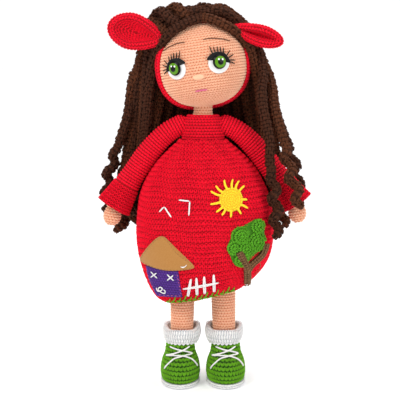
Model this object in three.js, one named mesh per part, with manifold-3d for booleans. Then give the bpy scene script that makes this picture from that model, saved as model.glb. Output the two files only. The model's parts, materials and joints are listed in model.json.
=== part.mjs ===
// A crocheted doll in a red balloon dress: stuffed body, hood with ears, locks of hair, lace-up shoes.
// Lengths are in millimetres, +Z is up, the doll looks along -Y and its own left hand is on +X.
import * as THREE from 'three';
import { mergeVertices } from 'three/addons/utils/BufferGeometryUtils.js';
import Module from 'manifold-3d';

const wasm = await Module();
wasm.setup();
const degrees = THREE.MathUtils.degToRad;
const at = (x, y, z) => new THREE.Vector3(x, y, z);

const seam = 0.35;           // gap left between two sewn or fitted pieces
const overrun = 60;          // how far a cutting block runs past what it cuts
const clothWall = 2.4;       // thickness of a crocheted wall
const feltLow = 0.35;        // felt and thread pieces lie between these two heights over their ground
const feltHigh = 1.45;

const body = {
  neckRadius: 9.4,
  neckTop: 287,
  shoulderHeight: 263,
  shoulderReach: 19,         // shoulder point from the middle of the body
  seatHeight: 101,
  seatHalfWidth: 32,
  seatHalfDepth: 22,
};

const leg = {
  ankleRadius: 10.6,
  thighRadius: 12.4,
  ankleSpread: 21.5,         // middle of the leg from the middle of the body, at the shoe
  hipSpread: 16.5,
  footBottom: 8,
  footHalfWidth: 13,
  footHalfLength: 20,
  footHalfHeight: 10,
  footForward: 5,
};

const shoe = {
  spread: 23,
  soleThickness: 5,
  soleHalfWidth: 19.4,
  toeReach: 32,              // from the middle of the ankle to the toe
  heelReach: 21,
  topHeight: 42,
};
const cuff = { rise: 0.6, height: 15, outerRadius: 18.6, sides: 18 };
const lace = { width: 1.5, high: 1.75 };

const arm = {
  ballRadius: 7.2,
  tubeRadius: 7.6,
  wristRadius: 6.8,
  handRadius: 8.8,
  handHalfLength: 10.4,
  handLean: degrees(8),      // the hand hangs nearly straight down out of the sleeve
  leftRaise: degrees(2.2),
};
const sleeve = { startRadius: 9.7, middleRadius: 11.5, hemRadius: 17, start: 3 };
const armReach = { out: 70.5, down: 83.3 };   // from the shoulder point to the middle of the sleeve hem

const head = {
  radius: 43,
  rise: 36,                  // middle of the head over the top of the neck
  offset: -1,
  depthShare: 0.96,
  roll: degrees(-8.5),
  yaw: degrees(-7.8),
};
const hood = { wall: 4.2, edgeReach: 8, leanShare: 0.33, yaw: degrees(4), neckRoom: 1.6 };

const openEar = { length: 56, width: 34, thickness: 15, hollow: 8.5, rim: 4.6, rise: degrees(23) };
const foldedEar = { length: 52, width: 20, thickness: 17, hollow: 10.5, rim: 7.6, rise: degrees(-25) };
const earBase = { out: 36, forward: 17, up: 27.5 };

const eye = {
  spacing: 41,
  drop: 2.6,
  domeRadius: 6.9,
  domeRise: 3.4,
  rim: 0.9,
  stemRadius: 2,
  stemLength: 13,
  washerRadius: 4.8,
  washerThickness: 1.6,
  washerDepth: 6.5,
  whiteHalfWidth: 9.6,
  whiteHalfHeight: 10,
};
const lash = { width: 0.85, lidReach: 9.6 };
const brow = { width: 0.9, halfWidth: 12.2, height: 16.6 };
const nose = { halfWidth: 5.2, halfHeight: 2.6, rise: 2.6, drop: 13.9 };
const mouth = { halfWidth: 6.1, thickness: 1.4, drop: 26.6 };

const yoke = {
  bottom: 247.4,
  top: 271.5,
  halfWidth: 21.4,
  halfDepth: 16.4,
  neckHalfWidth: 14.5,
  neckHalfDepth: 13,
};
const skirt = {
  top: 246.8,
  hem: 92,
  halfWidth: 68.5,
  shift: 2,                  // the full part hangs a little to the doll's left
  depthShare: 0.8,
  hemSlopeShare: 0.2,
  gathers: 12,
  gatherDepth: 0.9,
};

const hair = {
  thickness: 7.8,
  sink: 0.7,                 // how deep a lock beds into what it lies on
  knotRise: 4,               // the foremost lock stands up in a knot at its root
  curlRadius: 3,
  curlPitch: 20,
  straightStep: 17.5,
  curlSteps: 5,
  sides: 5,
  crownLocks: 5,
  crownStart: degrees(63),
  sideStart: degrees(13),
  fan: degrees(10.8),
  hangStart: degrees(24),
  hangFan: degrees(9),
  outerRow: 11.5,            // every second lock hangs this much further out
  routeUnit: 100,            // the routes of the outer locks are shares of this length
};
// Height, half width and half depth of the ring of hanging hair, and how high the ends of the locks stop
const hangLevelShares = [[3, 0.54, 0.54], [2.52, 0.62, 0.57], [2.05, 0.71, 0.66], [1.5, 0.74, 0.71]];
const lockEndShares = {
  left: [1.6, 1.52, 1.68, 1.58, 1.5, 1.64, 1.55],
  right: [1.57, 1.66, 1.5, 1.61, 1.55, 1.52, 1.63],
};

const sun = { radius: 10.4, rayWidth: 1.8, x: 26.5, z: 191.5 };
const tree = { x: 41.5, z: 148, halfWidth: 19.5, halfHeight: 24, trunkWidth: 7 };
const house = { x: -35, eaves: 124, halfWidth: 26.5, roofHeight: 32 };
const fence = { x: -2.3, z: 107.8, halfWidth: 17.5, postHeight: 20, stroke: 2.6 };
const bird = { stroke: 1.6, size: 15, x: -27, z: 184 };

function yarn(color, roughness = 0.92) {
  return new THREE.MeshStandardMaterial({ color, roughness, metalness: 0 });
}
const skinYarn = yarn(0xf6bb94);
const redYarn = yarn(0xd90626);
const hairYarn = yarn(0x3c2014);
const shoeYarn = yarn(0x559a14);
const leafYarn = yarn(0x3f8a16);
const barkYarn = yarn(0x73502e);
const whiteYarn = yarn(0xf4f3f0);
const sunYarn = yarn(0xfbd52a);
const wallYarn = yarn(0x552d91);
const lipThread = yarn(0xe0609a);
const browYarn = yarn(0x4a2a1c);
const tanFelt = yarn(0xc99a5c, 0.98);
const whiteFelt = yarn(0xf7f7f5, 0.95);
const blackFelt = yarn(0x111111, 0.8);
const eyePlastic = yarn(0x62a51e, 0.08);
const washerPlastic = yarn(0xe8e8e4, 0.4);

const doll = new THREE.Group();
const headCenter = at(head.offset, 0, body.neckTop + head.rise);
const headGroup = new THREE.Group();
headGroup.position.copy(headCenter);
headGroup.rotation.y = head.roll;
doll.add(headGroup);
const faceGroup = new THREE.Group();
faceGroup.rotation.z = head.yaw;
headGroup.add(faceGroup);

// Closed skins from rings of points

function closedGeometry(points, faces) {
  const normal = new THREE.Vector3();
  const volume = faces.reduce((sum, [a, b, c]) => (
    sum + points[a].dot(normal.crossVectors(points[b], points[c]))), 0);
  const outward = volume < 0 ? faces.map(([a, b, c]) => [a, c, b]) : faces;
  const geometry = new THREE.BufferGeometry().setFromPoints(points);
  geometry.setIndex(outward.flat());
  return geometry;
}

function bandFaces(ringCount, sides, looped) {
  const faces = [];
  for (let band = 0; band < (looped ? ringCount : ringCount - 1); band += 1) {
    const next = (band + 1) % ringCount;
    for (let side = 0; side < sides; side += 1) {
      const beside = (side + 1) % sides;
      const [a, b] = [band * sides + side, band * sides + beside];
      const [c, d] = [next * sides + side, next * sides + beside];
      faces.push([a, c, b], [b, c, d]);
    }
  }
  return faces;
}

function middle(ring) {
  return ring.reduce((sum, point) => sum.add(point), new THREE.Vector3()).divideScalar(ring.length);
}

function skin(rings) {
  const sides = rings[0].length;
  const points = [...rings.flat(), middle(rings[0]), middle(rings.at(-1))];
  const faces = bandFaces(rings.length, sides, false);
  const start = rings.length * sides;
  const lastRing = start - sides;
  for (let side = 0; side < sides; side += 1) {
    const beside = (side + 1) % sides;
    faces.push([start, side, beside], [start + 1, lastRing + beside, lastRing + side]);
  }
  return closedGeometry(points, faces);
}

function openShell(outerRings, innerRings) {
  const rings = [...outerRings, ...innerRings.toReversed()];
  return closedGeometry(rings.flat(), bandFaces(rings.length, rings[0].length, true));
}

function ovalRing(center, halfWidth, halfDepth, sides) {
  return Array.from({ length: sides }, (unused, index) => {
    const turn = (index / sides) * Math.PI * 2;
    return at(center.x + halfWidth * Math.cos(turn), center.y + halfDepth * Math.sin(turn), center.z);
  });
}

// Rings square to a path, carried along it without twist
function pathRings(points, radiusAt, sides) {
  let side = null;
  return points.map((point, index) => {
    const before = points[Math.max(index - 1, 0)];
    const after = points[Math.min(index + 1, points.length - 1)];
    const along = after.clone().sub(before).normalize();
    side = side ?? at(0, 1, 0).cross(along).normalize();
    side.addScaledVector(along, -side.dot(along)).normalize();
    const up = along.clone().cross(side);
    const radius = radiusAt(index / (points.length - 1));
    return Array.from({ length: sides }, (unused, step) => {
      const turn = (step / sides) * Math.PI * 2;
      return point.clone()
        .addScaledVector(side, radius * Math.cos(turn))
        .addScaledVector(up, radius * Math.sin(turn));
    });
  });
}

// Joining and cutting

function toSolid(geometry) {
  const bare = new THREE.BufferGeometry();
  bare.setAttribute('position', geometry.getAttribute('position'));
  bare.setIndex(geometry.index);
  const merged = mergeVertices(bare);
  const build = (order) => new wasm.Manifold(new wasm.Mesh({
    numProp: 3,
    vertProperties: new Float32Array(merged.getAttribute('position').array),
    triVerts: new Uint32Array(order),
  }));
  const solid = build(merged.index.array);
  return solid.volume() > 0 ? solid : build(Array.from(merged.index.array).toReversed());
}

function addMesh(group, name, shape, material) {
  let geometry = shape;
  if (shape instanceof wasm.Manifold) {
    const mesh = shape.getMesh();
    geometry = new THREE.BufferGeometry();
    geometry.setAttribute('position', new THREE.BufferAttribute(mesh.vertProperties, 3));
    geometry.setIndex(new THREE.BufferAttribute(mesh.triVerts, 1));
  }
  const loose = geometry.index ? geometry.toNonIndexed() : geometry;
  loose.computeVertexNormals();
  const piece = new THREE.Mesh(loose, material);
  piece.name = name;
  group.add(piece);
}

function ballSolid(radius, center) {
  return toSolid(new THREE.SphereGeometry(radius, 12, 8).translate(center.x, center.y, center.z));
}

// A flat outline in the x-z plane, run through the doll from the front to its middle
function frontBlock(shape) {
  const block = new THREE.ExtrudeGeometry(shape, { depth: overrun * 2, bevelEnabled: false });
  block.rotateX(Math.PI / 2);
  return toSolid(block);
}

function strokeShape(start, end, width, taper = 1) {
  const side = end.clone().sub(start).normalize().rotateAround(new THREE.Vector2(), Math.PI / 2);
  const half = side.clone().multiplyScalar(width / 2);
  const tip = half.clone().multiplyScalar(taper);
  const sides = [[start, half, 1], [start, half, -1], [end, tip, -1], [end, tip, 1]];
  return new THREE.Shape(sides.map(([corner, way, sign]) => corner.clone().addScaledVector(way, sign)));
}

function smoothShape(points) {
  const curve = new THREE.CatmullRomCurve3(points.map(([x, z]) => at(x, 0, z)), true);
  const outline = curve.getPoints(points.length * 2).slice(1);
  return new THREE.Shape(outline.map(({ x, z }) => new THREE.Vector2(x, z)));
}

function ovalShape(center, halfWidth, halfHeight, segments = 18) {
  const oval = new THREE.EllipseCurve(center.x, center.y, halfWidth, halfHeight, 0, Math.PI * 2);
  return new THREE.Shape(oval.getPoints(segments).slice(1));
}

function joined(solids) {
  return solids.reduce((whole, piece) => whole.add(piece));
}

// Arms: one path from the shoulder to the finger tips, in the plane of the body

const armPathShares = [[0, 0], [0.225, 0.11], [0.455, 0.305], [0.7, 0.595], [0.865, 0.815], [1, 1]];
const armCurve = new THREE.CatmullRomCurve3(armPathShares.map(([out, down]) => (
  at(armReach.out * out, 0, -armReach.down * down))));
const handTurn = at(Math.sin(arm.handLean), 0, -Math.cos(arm.handLean));
const wrist = at(armReach.out, 0, -armReach.down);
const handCenter = wrist.clone().addScaledVector(handTurn, arm.handHalfLength * 0.9);
const armSides = 10;

function armPoints(start, steps) {
  return Array.from({ length: steps + 1 }, (unused, step) => (
    armCurve.getPointAt(start + (1 - start) * (step / steps))));
}

function armSkin() {
  const tube = armPoints(0, 7);
  const count = 6;
  const hand = Array.from({ length: count }, (unused, step) => (
    handCenter.clone().addScaledVector(handTurn, arm.handHalfLength * ((step + 0.5) / count * 2 - 1))));
  const limb = pathRings(tube, (t) => THREE.MathUtils.lerp(arm.tubeRadius, arm.wristRadius, t * t), armSides);
  const fist = pathRings(hand, () => 1, armSides).map((ring, step) => {
    const height = (step + 0.5) / count * 2 - 1;
    const radius = arm.handRadius * Math.sqrt(1 - height * height);
    return ring.map((point) => point.sub(hand[step]).multiplyScalar(radius).add(hand[step]));
  });
  return toSolid(skin([...limb.slice(0, -1), ...fist.slice(1)])).add(ballSolid(arm.ballRadius, at(0, 0, 0)));
}

function sleeveRadius(t) {
  const flare = Math.max(0, (t - 0.62) / 0.38);
  const tube = THREE.MathUtils.lerp(sleeve.startRadius, sleeve.middleRadius, Math.min(1, t * 2.2));
  return tube + (sleeve.hemRadius - sleeve.middleRadius) * flare ** 1.4;
}

const sleeveStart = sleeve.start / armCurve.getLength();
const sleevePoints = armPoints(sleeveStart, 8);
function sleeveRings(offset) {
  return pathRings(sleevePoints, (t) => sleeveRadius(t) + offset, 12);
}

function mirrored(geometry) {
  const copy = geometry.clone().scale(-1, 1, 1);
  copy.setIndex(Array.from(copy.index.array).toReversed());
  return copy;
}

const bothSides = [
  { name: 'left', side: 1, raise: -arm.leftRaise },
  { name: 'right', side: -1, raise: 0 },
];
const shoulderAt = (side) => at(body.shoulderReach * side, 0, body.shoulderHeight);

function placedSolid(geometry, { side, raise }) {
  const turned = (side > 0 ? geometry.clone() : mirrored(geometry)).rotateY(raise);
  const shoulder = shoulderAt(side);
  return toSolid(turned.translate(shoulder.x, shoulder.y, shoulder.z));
}

const sleeveRoom = bothSides.map((set) => placedSolid(skin(sleeveRings(seam)), set));
const socketRoom = bothSides.map(({ side }) => ballSolid(sleeve.startRadius + seam * 2, shoulderAt(side)));

for (const { name, side, raise } of bothSides) {
  const group = new THREE.Group();
  group.position.copy(shoulderAt(side));
  group.rotation.y = raise;
  doll.add(group);
  const limb = armSkin();
  addMesh(group, `${name}_arm`, side > 0 ? limb : limb.mirror([1, 0, 0]), skinYarn);
  const cloth = openShell(sleeveRings(0), sleeveRings(-clothWall * 0.6));
  addMesh(group, `${name}_sleeve`, side > 0 ? cloth : mirrored(cloth), redYarn);
}

// Torso and neck, with a socket for each shoulder

const bodySides = 16;
const yokeInner = {
  halfWidth: yoke.halfWidth - clothWall - seam,
  halfDepth: yoke.halfDepth - clothWall - seam,
};
const torsoShares = [[0.02, 0.4], [0.05, 0.78], [0.13, 1], [0.33, 0.98], [0.62, 0.8], [0.82, 0.64]];
const torsoRings = [
  ...torsoShares.map(([rise, width]) => ovalRing(
    at(0, 0, THREE.MathUtils.lerp(body.seatHeight, yoke.bottom, rise)),
    body.seatHalfWidth * width, body.seatHalfDepth * width, bodySides)),
  ovalRing(at(0, 0, yoke.bottom), yokeInner.halfWidth, yokeInner.halfDepth, bodySides),
  ovalRing(at(0, 0, body.shoulderHeight), yokeInner.halfWidth, yokeInner.halfDepth, bodySides),
  ovalRing(at(0, 0, yoke.top), body.neckRadius, body.neckRadius, bodySides),
  ovalRing(at(0, 0, body.neckTop), body.neckRadius, body.neckRadius, bodySides),
];
let torso = toSolid(skin(torsoRings));
bothSides.forEach(({ side }, index) => {
  const shoulder = shoulderAt(side);
  const rimCenter = shoulder.clone().add(at(sleeve.start * side, 0, 0));
  const rimRoom = ballSolid(sleeve.startRadius + seam * 2, rimCenter);
  torso = torso.subtract(ballSolid(arm.tubeRadius + seam, shoulder)).subtract(rimRoom);
  torso = torso.subtract(sleeveRoom[index]);
});
addMesh(doll, 'torso', torso, skinYarn);

// Dress: yoke and balloon skirt

const yokeOuter = [
  ovalRing(at(0, 0, yoke.bottom), yoke.halfWidth, yoke.halfDepth, bodySides),
  ovalRing(at(0, 0, body.shoulderHeight), yoke.halfWidth, yoke.halfDepth, bodySides),
  ovalRing(at(0, 0, yoke.top), yoke.neckHalfWidth, yoke.neckHalfDepth, bodySides),
];
const yokeHollow = [
  ovalRing(at(0, 0, yoke.bottom), yokeInner.halfWidth + seam, yokeInner.halfDepth + seam, bodySides),
  ovalRing(at(0, 0, body.shoulderHeight), yokeInner.halfWidth + seam, yokeInner.halfDepth + seam, bodySides),
  ovalRing(at(0, 0, yoke.top), body.neckRadius + seam, body.neckRadius + seam, bodySides),
];
const yokeSolid = [...sleeveRoom, ...socketRoom].reduce(
  (whole, room) => whole.subtract(room), toSolid(openShell(yokeOuter, yokeHollow)));
addMesh(doll, 'dress_yoke', yokeSolid, redYarn);

// Height over the hem and half width of the skirt, as shares of its height and its half width
const skirtShares = [
  [0, 0.56], [0.022, 0.65], [0.06, 0.74], [0.11, 0.82], [0.18, 0.9], [0.27, 0.965], [0.39, 1],
  [0.52, 0.985], [0.64, 0.94], [0.75, 0.84], [0.85, 0.69], [0.93, 0.51], [0.985, 0.37], [1, 0.35],
];
const skirtSides = 30;
function skirtRings(offset) {
  return skirtShares.map(([rise, width]) => {
    const fullness = Math.sin(Math.PI * Math.min(1, rise * 1.15));
    const slope = skirt.hemSlopeShare * Math.max(0, 1 - rise * 3) ** 1.5;
    const gather = skirt.gatherDepth * Math.max(0, rise * 4 - 3) * (1 - rise) * 6;
    const height = THREE.MathUtils.lerp(skirt.hem, skirt.top, rise);
    const halfWidth = skirt.halfWidth * width + offset;
    return Array.from({ length: skirtSides }, (unused, index) => {
      const turn = (index / skirtSides) * Math.PI * 2;
      const fold = 1 + (gather * Math.cos(turn * skirt.gathers)) / halfWidth;
      const x = halfWidth * fold * Math.cos(turn);
      const y = (halfWidth * skirt.depthShare + offset * (1 - skirt.depthShare)) * fold * Math.sin(turn);
      return at(x + skirt.shift * fullness, y, height + slope * x);
    });
  });
}
addMesh(doll, 'dress_skirt', openShell(skirtRings(0), skirtRings(-clothWall)), redYarn);

// Pieces sewn to the skirt follow its surface
const skirtCover = toSolid(skin(skirtRings(feltHigh))).subtract(toSolid(skin(skirtRings(feltLow))));
const skirtThread = toSolid(skin(skirtRings(feltHigh * 0.8))).subtract(toSolid(skin(skirtRings(feltLow))));
const onSkirt = (block, cover = skirtCover) => cover.intersect(block);
const flat = (x, z) => new THREE.Vector2(x, z);

// Direction in degrees and length of each sun ray, as a share of the disc
const sunRayShares = [
  [110, 1.9], [85, 1.82], [66, 1.82], [44, 1.73], [-3, 1.5], [-29, 1.78], [-56, 1.64], [-92, 1.62],
  [-122, 1.65], [-142, 1.77], [-169, 1.96], [157, 2.05], [138, 1.92],
];
const sunCenter = flat(sun.x, sun.z);
const sunRays = sunRayShares.map(([turn, reach]) => {
  const way = flat(sun.radius, 0).rotateAround(flat(0, 0), degrees(turn));
  const start = sunCenter.clone().addScaledVector(way, 0.6);
  return frontBlock(strokeShape(start, sunCenter.clone().addScaledVector(way, reach), sun.rayWidth, 0.7));
});
const sunDisc = frontBlock(ovalShape(sunCenter, sun.radius, sun.radius));
addMesh(doll, 'sun', onSkirt(joined([sunDisc, ...sunRays])), sunYarn);

const treeAt = ([x, z]) => [tree.x + x * tree.halfWidth, tree.z + z * tree.halfHeight];
const crownShares = [
  [-0.02, 0.82], [0.2, 0.98], [0.55, 1], [0.85, 0.86], [0.97, 0.6], [0.9, 0.3], [0.93, -0.05], [0.62, -0.43],
  [0.25, -0.72], [-0.15, -0.95], [-0.45, -0.9], [-0.68, -0.7], [-0.76, -0.42], [-0.98, -0.22], [-0.97, 0.05],
  [-0.72, 0.38], [-0.3, 0.7],
];
const trunkStrokeShares = [
  [[0.04, -1.74], [0, -0.9], 1], [[0, -0.95], [-0.38, -0.3], 0.95], [[0.05, -1], [0.42, -0.72], 0.85],
  [[0.36, -0.78], [0.74, -0.52], 0.75], [[0.68, -0.58], [0.95, -0.1], 0.65],
];
const trunkStrokes = trunkStrokeShares.map(([start, end, width]) => frontBlock(strokeShape(
  flat(...treeAt(start)), flat(...treeAt(end)), tree.trunkWidth * width)));
const trunkKnots = trunkStrokeShares.map(([, end, width]) => frontBlock(ovalShape(
  flat(...treeAt(end)), (tree.trunkWidth * width) / 2, (tree.trunkWidth * width) / 2, 8)));
const trunkBlock = joined([...trunkStrokes, ...trunkKnots]);
const crown = onSkirt(frontBlock(smoothShape(crownShares.map(treeAt))));
const crownTop = toSolid(skin(skirtRings(feltHigh + seam)));
addMesh(doll, 'tree_crown', crown, leafYarn);
const trunkCover = toSolid(skin(skirtRings(feltHigh * 2 + seam))).subtract(crownTop);
addMesh(doll, 'tree_trunk', trunkCover.intersect(trunkBlock), barkYarn);

const houseAt = ([x, z]) => flat(house.x + x * house.halfWidth, house.eaves + z * house.roofHeight);
const roofShares = [
  [-0.16, 1], [-0.96, 0.24], [-0.97, 0.12], [-0.5, 0], [0, -0.05], [0.62, 0], [1, 0.09], [0.95, 0.19],
  [0.46, 0.5],
];
const wallShares = [
  [-0.8, -0.01], [-0.02, -0.05], [0.42, -0.04], [0.56, -0.92], [-0.42, -0.99], [-0.68, -0.5],
];
const roof = onSkirt(frontBlock(new THREE.Shape(roofShares.map(houseAt))));
addMesh(doll, 'house_roof', roof, tanFelt);
const underRoof = frontBlock(new THREE.Shape(roofShares.map(([x, z]) => houseAt([x * 1.02, z - 0.03]))));
const wall = onSkirt(frontBlock(new THREE.Shape(wallShares.map(houseAt))));
addMesh(doll, 'house_wall', wall.subtract(underRoof), wallYarn);

const fenceSlopeShare = 0.2;
const fencePostShares = [-0.62, -0.22, 0.2, 0.72];
const onRail = (share) => flat(share, share * fenceSlopeShare).multiplyScalar(fence.halfWidth)
  .add(flat(fence.x, fence.z));
const posts = fencePostShares.map((share) => {
  const foot = onRail(share);
  const lean = flat(share < -0.5 ? 0.09 : 0, 0.5).multiplyScalar(fence.postHeight);
  return frontBlock(strokeShape(foot.clone().sub(lean), foot.clone().add(lean), fence.stroke, 0.8));
});
const rail = frontBlock(strokeShape(onRail(-1), onRail(1), fence.stroke));
addMesh(doll, 'fence', onSkirt(joined([rail, ...posts]), skirtThread), whiteYarn);

const birdShares = {
  low_bird: [[-1, -0.35], [-0.66, 0.02], [-0.2, -0.64]],
  high_bird: [[0.24, 0.48], [0.96, 0.43], [0.9, -0.5]],
};
for (const [name, shares] of Object.entries(birdShares)) {
  const [tip, bend, tail] = shares.map(([x, z]) => flat(bird.x + x * bird.size, bird.z + z * bird.size));
  const wings = [
    strokeShape(tip, bend, bird.stroke),
    strokeShape(bend, tail, bird.stroke),
    ovalShape(bend, bird.stroke / 2, bird.stroke / 2, 6),
  ];
  addMesh(doll, name, onSkirt(joined(wings.map(frontBlock)), skirtThread), whiteYarn);
}

// Legs, shoes, cuffs and laces

// Height, half width, toe and heel of each level of the shoe
const shoeLevelShares = [
  [0, 0.93, 0.96, 0.93],
  [0.13, 1, 1, 1],
  [0.32, 1, 0.98, 1],
  [0.52, 0.93, 0.84, 0.94],
  [0.72, 0.79, 0.56, 0.77],
  [1, 0.71, 0.43, 0.66],
];
const shoeSides = 16;
function shoeRing(z, halfWidth, toe, heel) {
  return Array.from({ length: shoeSides }, (unused, index) => {
    const turn = (index / shoeSides) * Math.PI * 2;
    const reach = Math.sin(turn) < 0 ? toe : heel;
    return at(halfWidth * Math.cos(turn), reach * Math.sin(turn), z);
  });
}
const upperBottom = shoe.soleThickness + seam;
function shoeRings(offset) {
  return shoeLevelShares.map(([rise, width, toe, heel]) => shoeRing(
    THREE.MathUtils.lerp(upperBottom, shoe.topHeight, rise),
    shoe.soleHalfWidth * width + offset,
    shoe.toeReach * toe + offset,
    shoe.heelReach * heel + offset));
}
const soleShares = [[0, 0.97], [0.18, 1.01], [0.82, 1.02], [1, 0.98]];
const soleRings = soleShares.map(([rise, width]) => shoeRing(
  shoe.soleThickness * rise, shoe.soleHalfWidth * width, shoe.toeReach * width, shoe.heelReach * width));

function footSolid(offset) {
  const foot = new THREE.SphereGeometry(1, 12, 8)
    .scale(leg.footHalfWidth + offset, leg.footHalfLength + offset, leg.footHalfHeight + offset)
    .translate(0, -leg.footForward, leg.footBottom + leg.footHalfHeight);
  return toSolid(foot);
}
function legTube(side, offset) {
  const legTop = body.seatHeight + leg.thighRadius * 2.2;
  const levels = [leg.footBottom + leg.footHalfHeight, shoe.topHeight, shoe.topHeight * 2, legTop];
  const rings = levels.map((z) => {
    const share = Math.max(0, (z - shoe.topHeight) / (levels.at(-1) - shoe.topHeight));
    const spread = THREE.MathUtils.lerp(leg.ankleSpread, leg.hipSpread, share);
    const radius = THREE.MathUtils.lerp(leg.ankleRadius, leg.thighRadius, share ** 0.7);
    return ovalRing(at(spread * side, 0, z), radius + offset, radius + offset, 12);
  });
  return toSolid(skin(rings));
}
const torsoRoom = toSolid(skin(torsoShares.map(([rise, width]) => ovalRing(
  at(0, 0, THREE.MathUtils.lerp(body.seatHeight, yoke.bottom, rise) - seam),
  body.seatHalfWidth * width + seam, body.seatHalfDepth * width + seam, bodySides))));

// Ends of each lace strand, as shares of the shoe's half width and of its height
const laceShares = [
  [[-0.52, 0.93], [0.6, 0.76]], [[0.47, 0.94], [-0.68, 0.71]], [[-0.68, 0.71], [0.14, 0.725]],
  [[0.12, 0.73], [0.6, 0.64]], [[0.58, 0.645], [0.86, 0.47]], [[0.6, 0.765], [0.01, 0.715]],
  [[0.03, 0.72], [-0.5, 0.6]], [[-0.48, 0.61], [-0.78, 0.43]],
];
for (const { name, side } of bothSides) {
  const limb = legTube(side, 0).subtract(torsoRoom);
  const foot = footSolid(0).translate([leg.ankleSpread * side, 0, 0]);
  addMesh(doll, `${name}_leg`, limb.add(foot), skinYarn);
  const group = new THREE.Group();
  group.position.x = shoe.spread * side;
  doll.add(group);
  const legRoom = legTube(side, seam).add(footSolid(seam).translate([leg.ankleSpread * side, 0, 0]))
    .translate([-shoe.spread * side, 0, 0]);
  addMesh(group, `${name}_shoe`, toSolid(skin(shoeRings(0))).subtract(legRoom), shoeYarn);
  addMesh(group, `${name}_sole`, skin(soleRings), whiteYarn);
  const laceCover = toSolid(skin(shoeRings(lace.high))).subtract(toSolid(skin(shoeRings(seam))));
  const strands = laceShares.map((ends) => frontBlock(strokeShape(
    ...ends.map(([x, z]) => flat(x * shoe.soleHalfWidth, z * shoe.topHeight)), lace.width)));
  addMesh(group, `${name}_lace`, laceCover.intersect(joined(strands)), whiteYarn);

  const cuffBase = shoe.topHeight + cuff.rise;
  const cuffMiddle = (leg.ankleRadius + cuff.outerRadius) / 2 + seam;
  const cuffHalf = cuff.outerRadius - cuffMiddle;
  const halfHeight = cuff.height / 2;
  const profile = new THREE.EllipseCurve(cuffMiddle, cuffBase + halfHeight, cuffHalf, halfHeight);
  const ring = new THREE.LatheGeometry(profile.getPoints(6), cuff.sides);
  const cuffSolid = toSolid(ring.rotateX(Math.PI / 2)).translate([leg.ankleSpread * side, 0, 0]);
  addMesh(doll, `${name}_cuff`, cuffSolid.subtract(legTube(side, seam)), whiteYarn);
}

// Head: a ball with a fuller jaw, turned as one outline

const headSides = 20;
function headOutline(offset) {
  const steps = 10;
  return Array.from({ length: steps + 1 }, (unused, step) => {
    const turn = -Math.PI / 2 + (step / steps) * Math.PI;
    const power = turn < 0 ? 2 / 2.45 : 1;
    const [across, up] = [Math.cos(turn), Math.sin(turn)];
    const width = step % steps === 0 ? 0 : across ** power;
    return flat(width, Math.sign(up) * Math.abs(up) ** power).multiplyScalar(head.radius + offset);
  });
}
function headSolid(offset) {
  const lathe = new THREE.LatheGeometry(headOutline(offset), headSides);
  lathe.rotateX(Math.PI / 2).scale(1, head.depthShare, 1);
  return toSolid(lathe);
}
const eyeAt = (side) => at((side * eye.spacing) / 2, 0, -eye.drop);
function eyeWay(side) {
  const center = eyeAt(side);
  const forward = Math.sqrt(head.radius ** 2 - center.x ** 2 - center.z ** 2) * head.depthShare;
  return at(center.x, -forward, center.z);
}
function turnedToEye(profile, side, segments) {
  const lathe = new THREE.LatheGeometry(profile, segments);
  const outward = eyeWay(side).normalize();
  lathe.applyQuaternion(new THREE.Quaternion().setFromUnitVectors(at(0, 1, 0), outward));
  const seat = eyeWay(side);
  return toSolid(lathe.translate(seat.x, seat.y, seat.z));
}
// An upright cylinder on the axis of the neck, up to a height over the middle of the rolled head
function neckColumn(radius, top) {
  const column = new THREE.CylinderGeometry(radius, radius, overrun, bodySides);
  column.rotateX(Math.PI / 2).translate(-head.offset, 0, top - overrun / 2);
  return toSolid(column.rotateY(-head.roll));
}
const neckRoom = neckColumn(body.neckRadius + seam, seam - head.rise);

// Bore for the stem of an eye, and the pocket in the stuffing for its washer
const boreOutline = [
  [0, eye.domeRise], [eye.stemRadius + seam, eye.domeRise], [eye.stemRadius + seam, -eye.washerDepth + seam],
  [eye.washerRadius + seam, -eye.washerDepth + seam],
  [eye.washerRadius + seam, -eye.washerDepth - eye.washerThickness - seam],
  [eye.stemRadius + seam, -eye.washerDepth - eye.washerThickness - seam],
  [eye.stemRadius + seam, -eye.stemLength], [0, -eye.stemLength],
].map(([x, y]) => flat(x, y));
const stemOutline = [
  [0, -eye.stemLength + seam * 2], [eye.stemRadius, -eye.stemLength + seam * 2],
  [eye.stemRadius, feltHigh + seam], [eye.domeRadius - eye.rim, feltHigh + seam],
  [eye.domeRadius, feltHigh + seam + eye.rim], [eye.domeRadius - eye.rim * 0.6, feltHigh + eye.rim * 2],
  [eye.domeRadius * 0.6, feltHigh + eye.domeRise], [0, feltHigh + eye.domeRise + eye.rim],
].map(([x, y]) => flat(x, y));
const washerOutline = [
  [eye.stemRadius + seam, -eye.washerDepth], [eye.stemRadius + seam, -eye.washerDepth - eye.washerThickness],
  [eye.washerRadius, -eye.washerDepth - eye.washerThickness], [eye.washerRadius, -eye.washerDepth],
  [eye.stemRadius + seam, -eye.washerDepth],
].map(([x, y]) => flat(x, y));

const turnedFace = (solid, turn = head.yaw) => solid.rotate([0, 0, THREE.MathUtils.radToDeg(turn)]);
let headShape = headSolid(0).subtract(neckRoom);
for (const { side } of bothSides) {
  headShape = headShape.subtract(turnedFace(turnedToEye(boreOutline, side, 12)));
}
addMesh(headGroup, 'head', headShape, skinYarn);

const underFace = (offset) => turnedFace(headSolid(offset), -head.yaw);
const faceCover = underFace(feltHigh).subtract(underFace(feltLow));
const lidCover = underFace(feltHigh * 2).subtract(underFace(feltHigh + seam));
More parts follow.
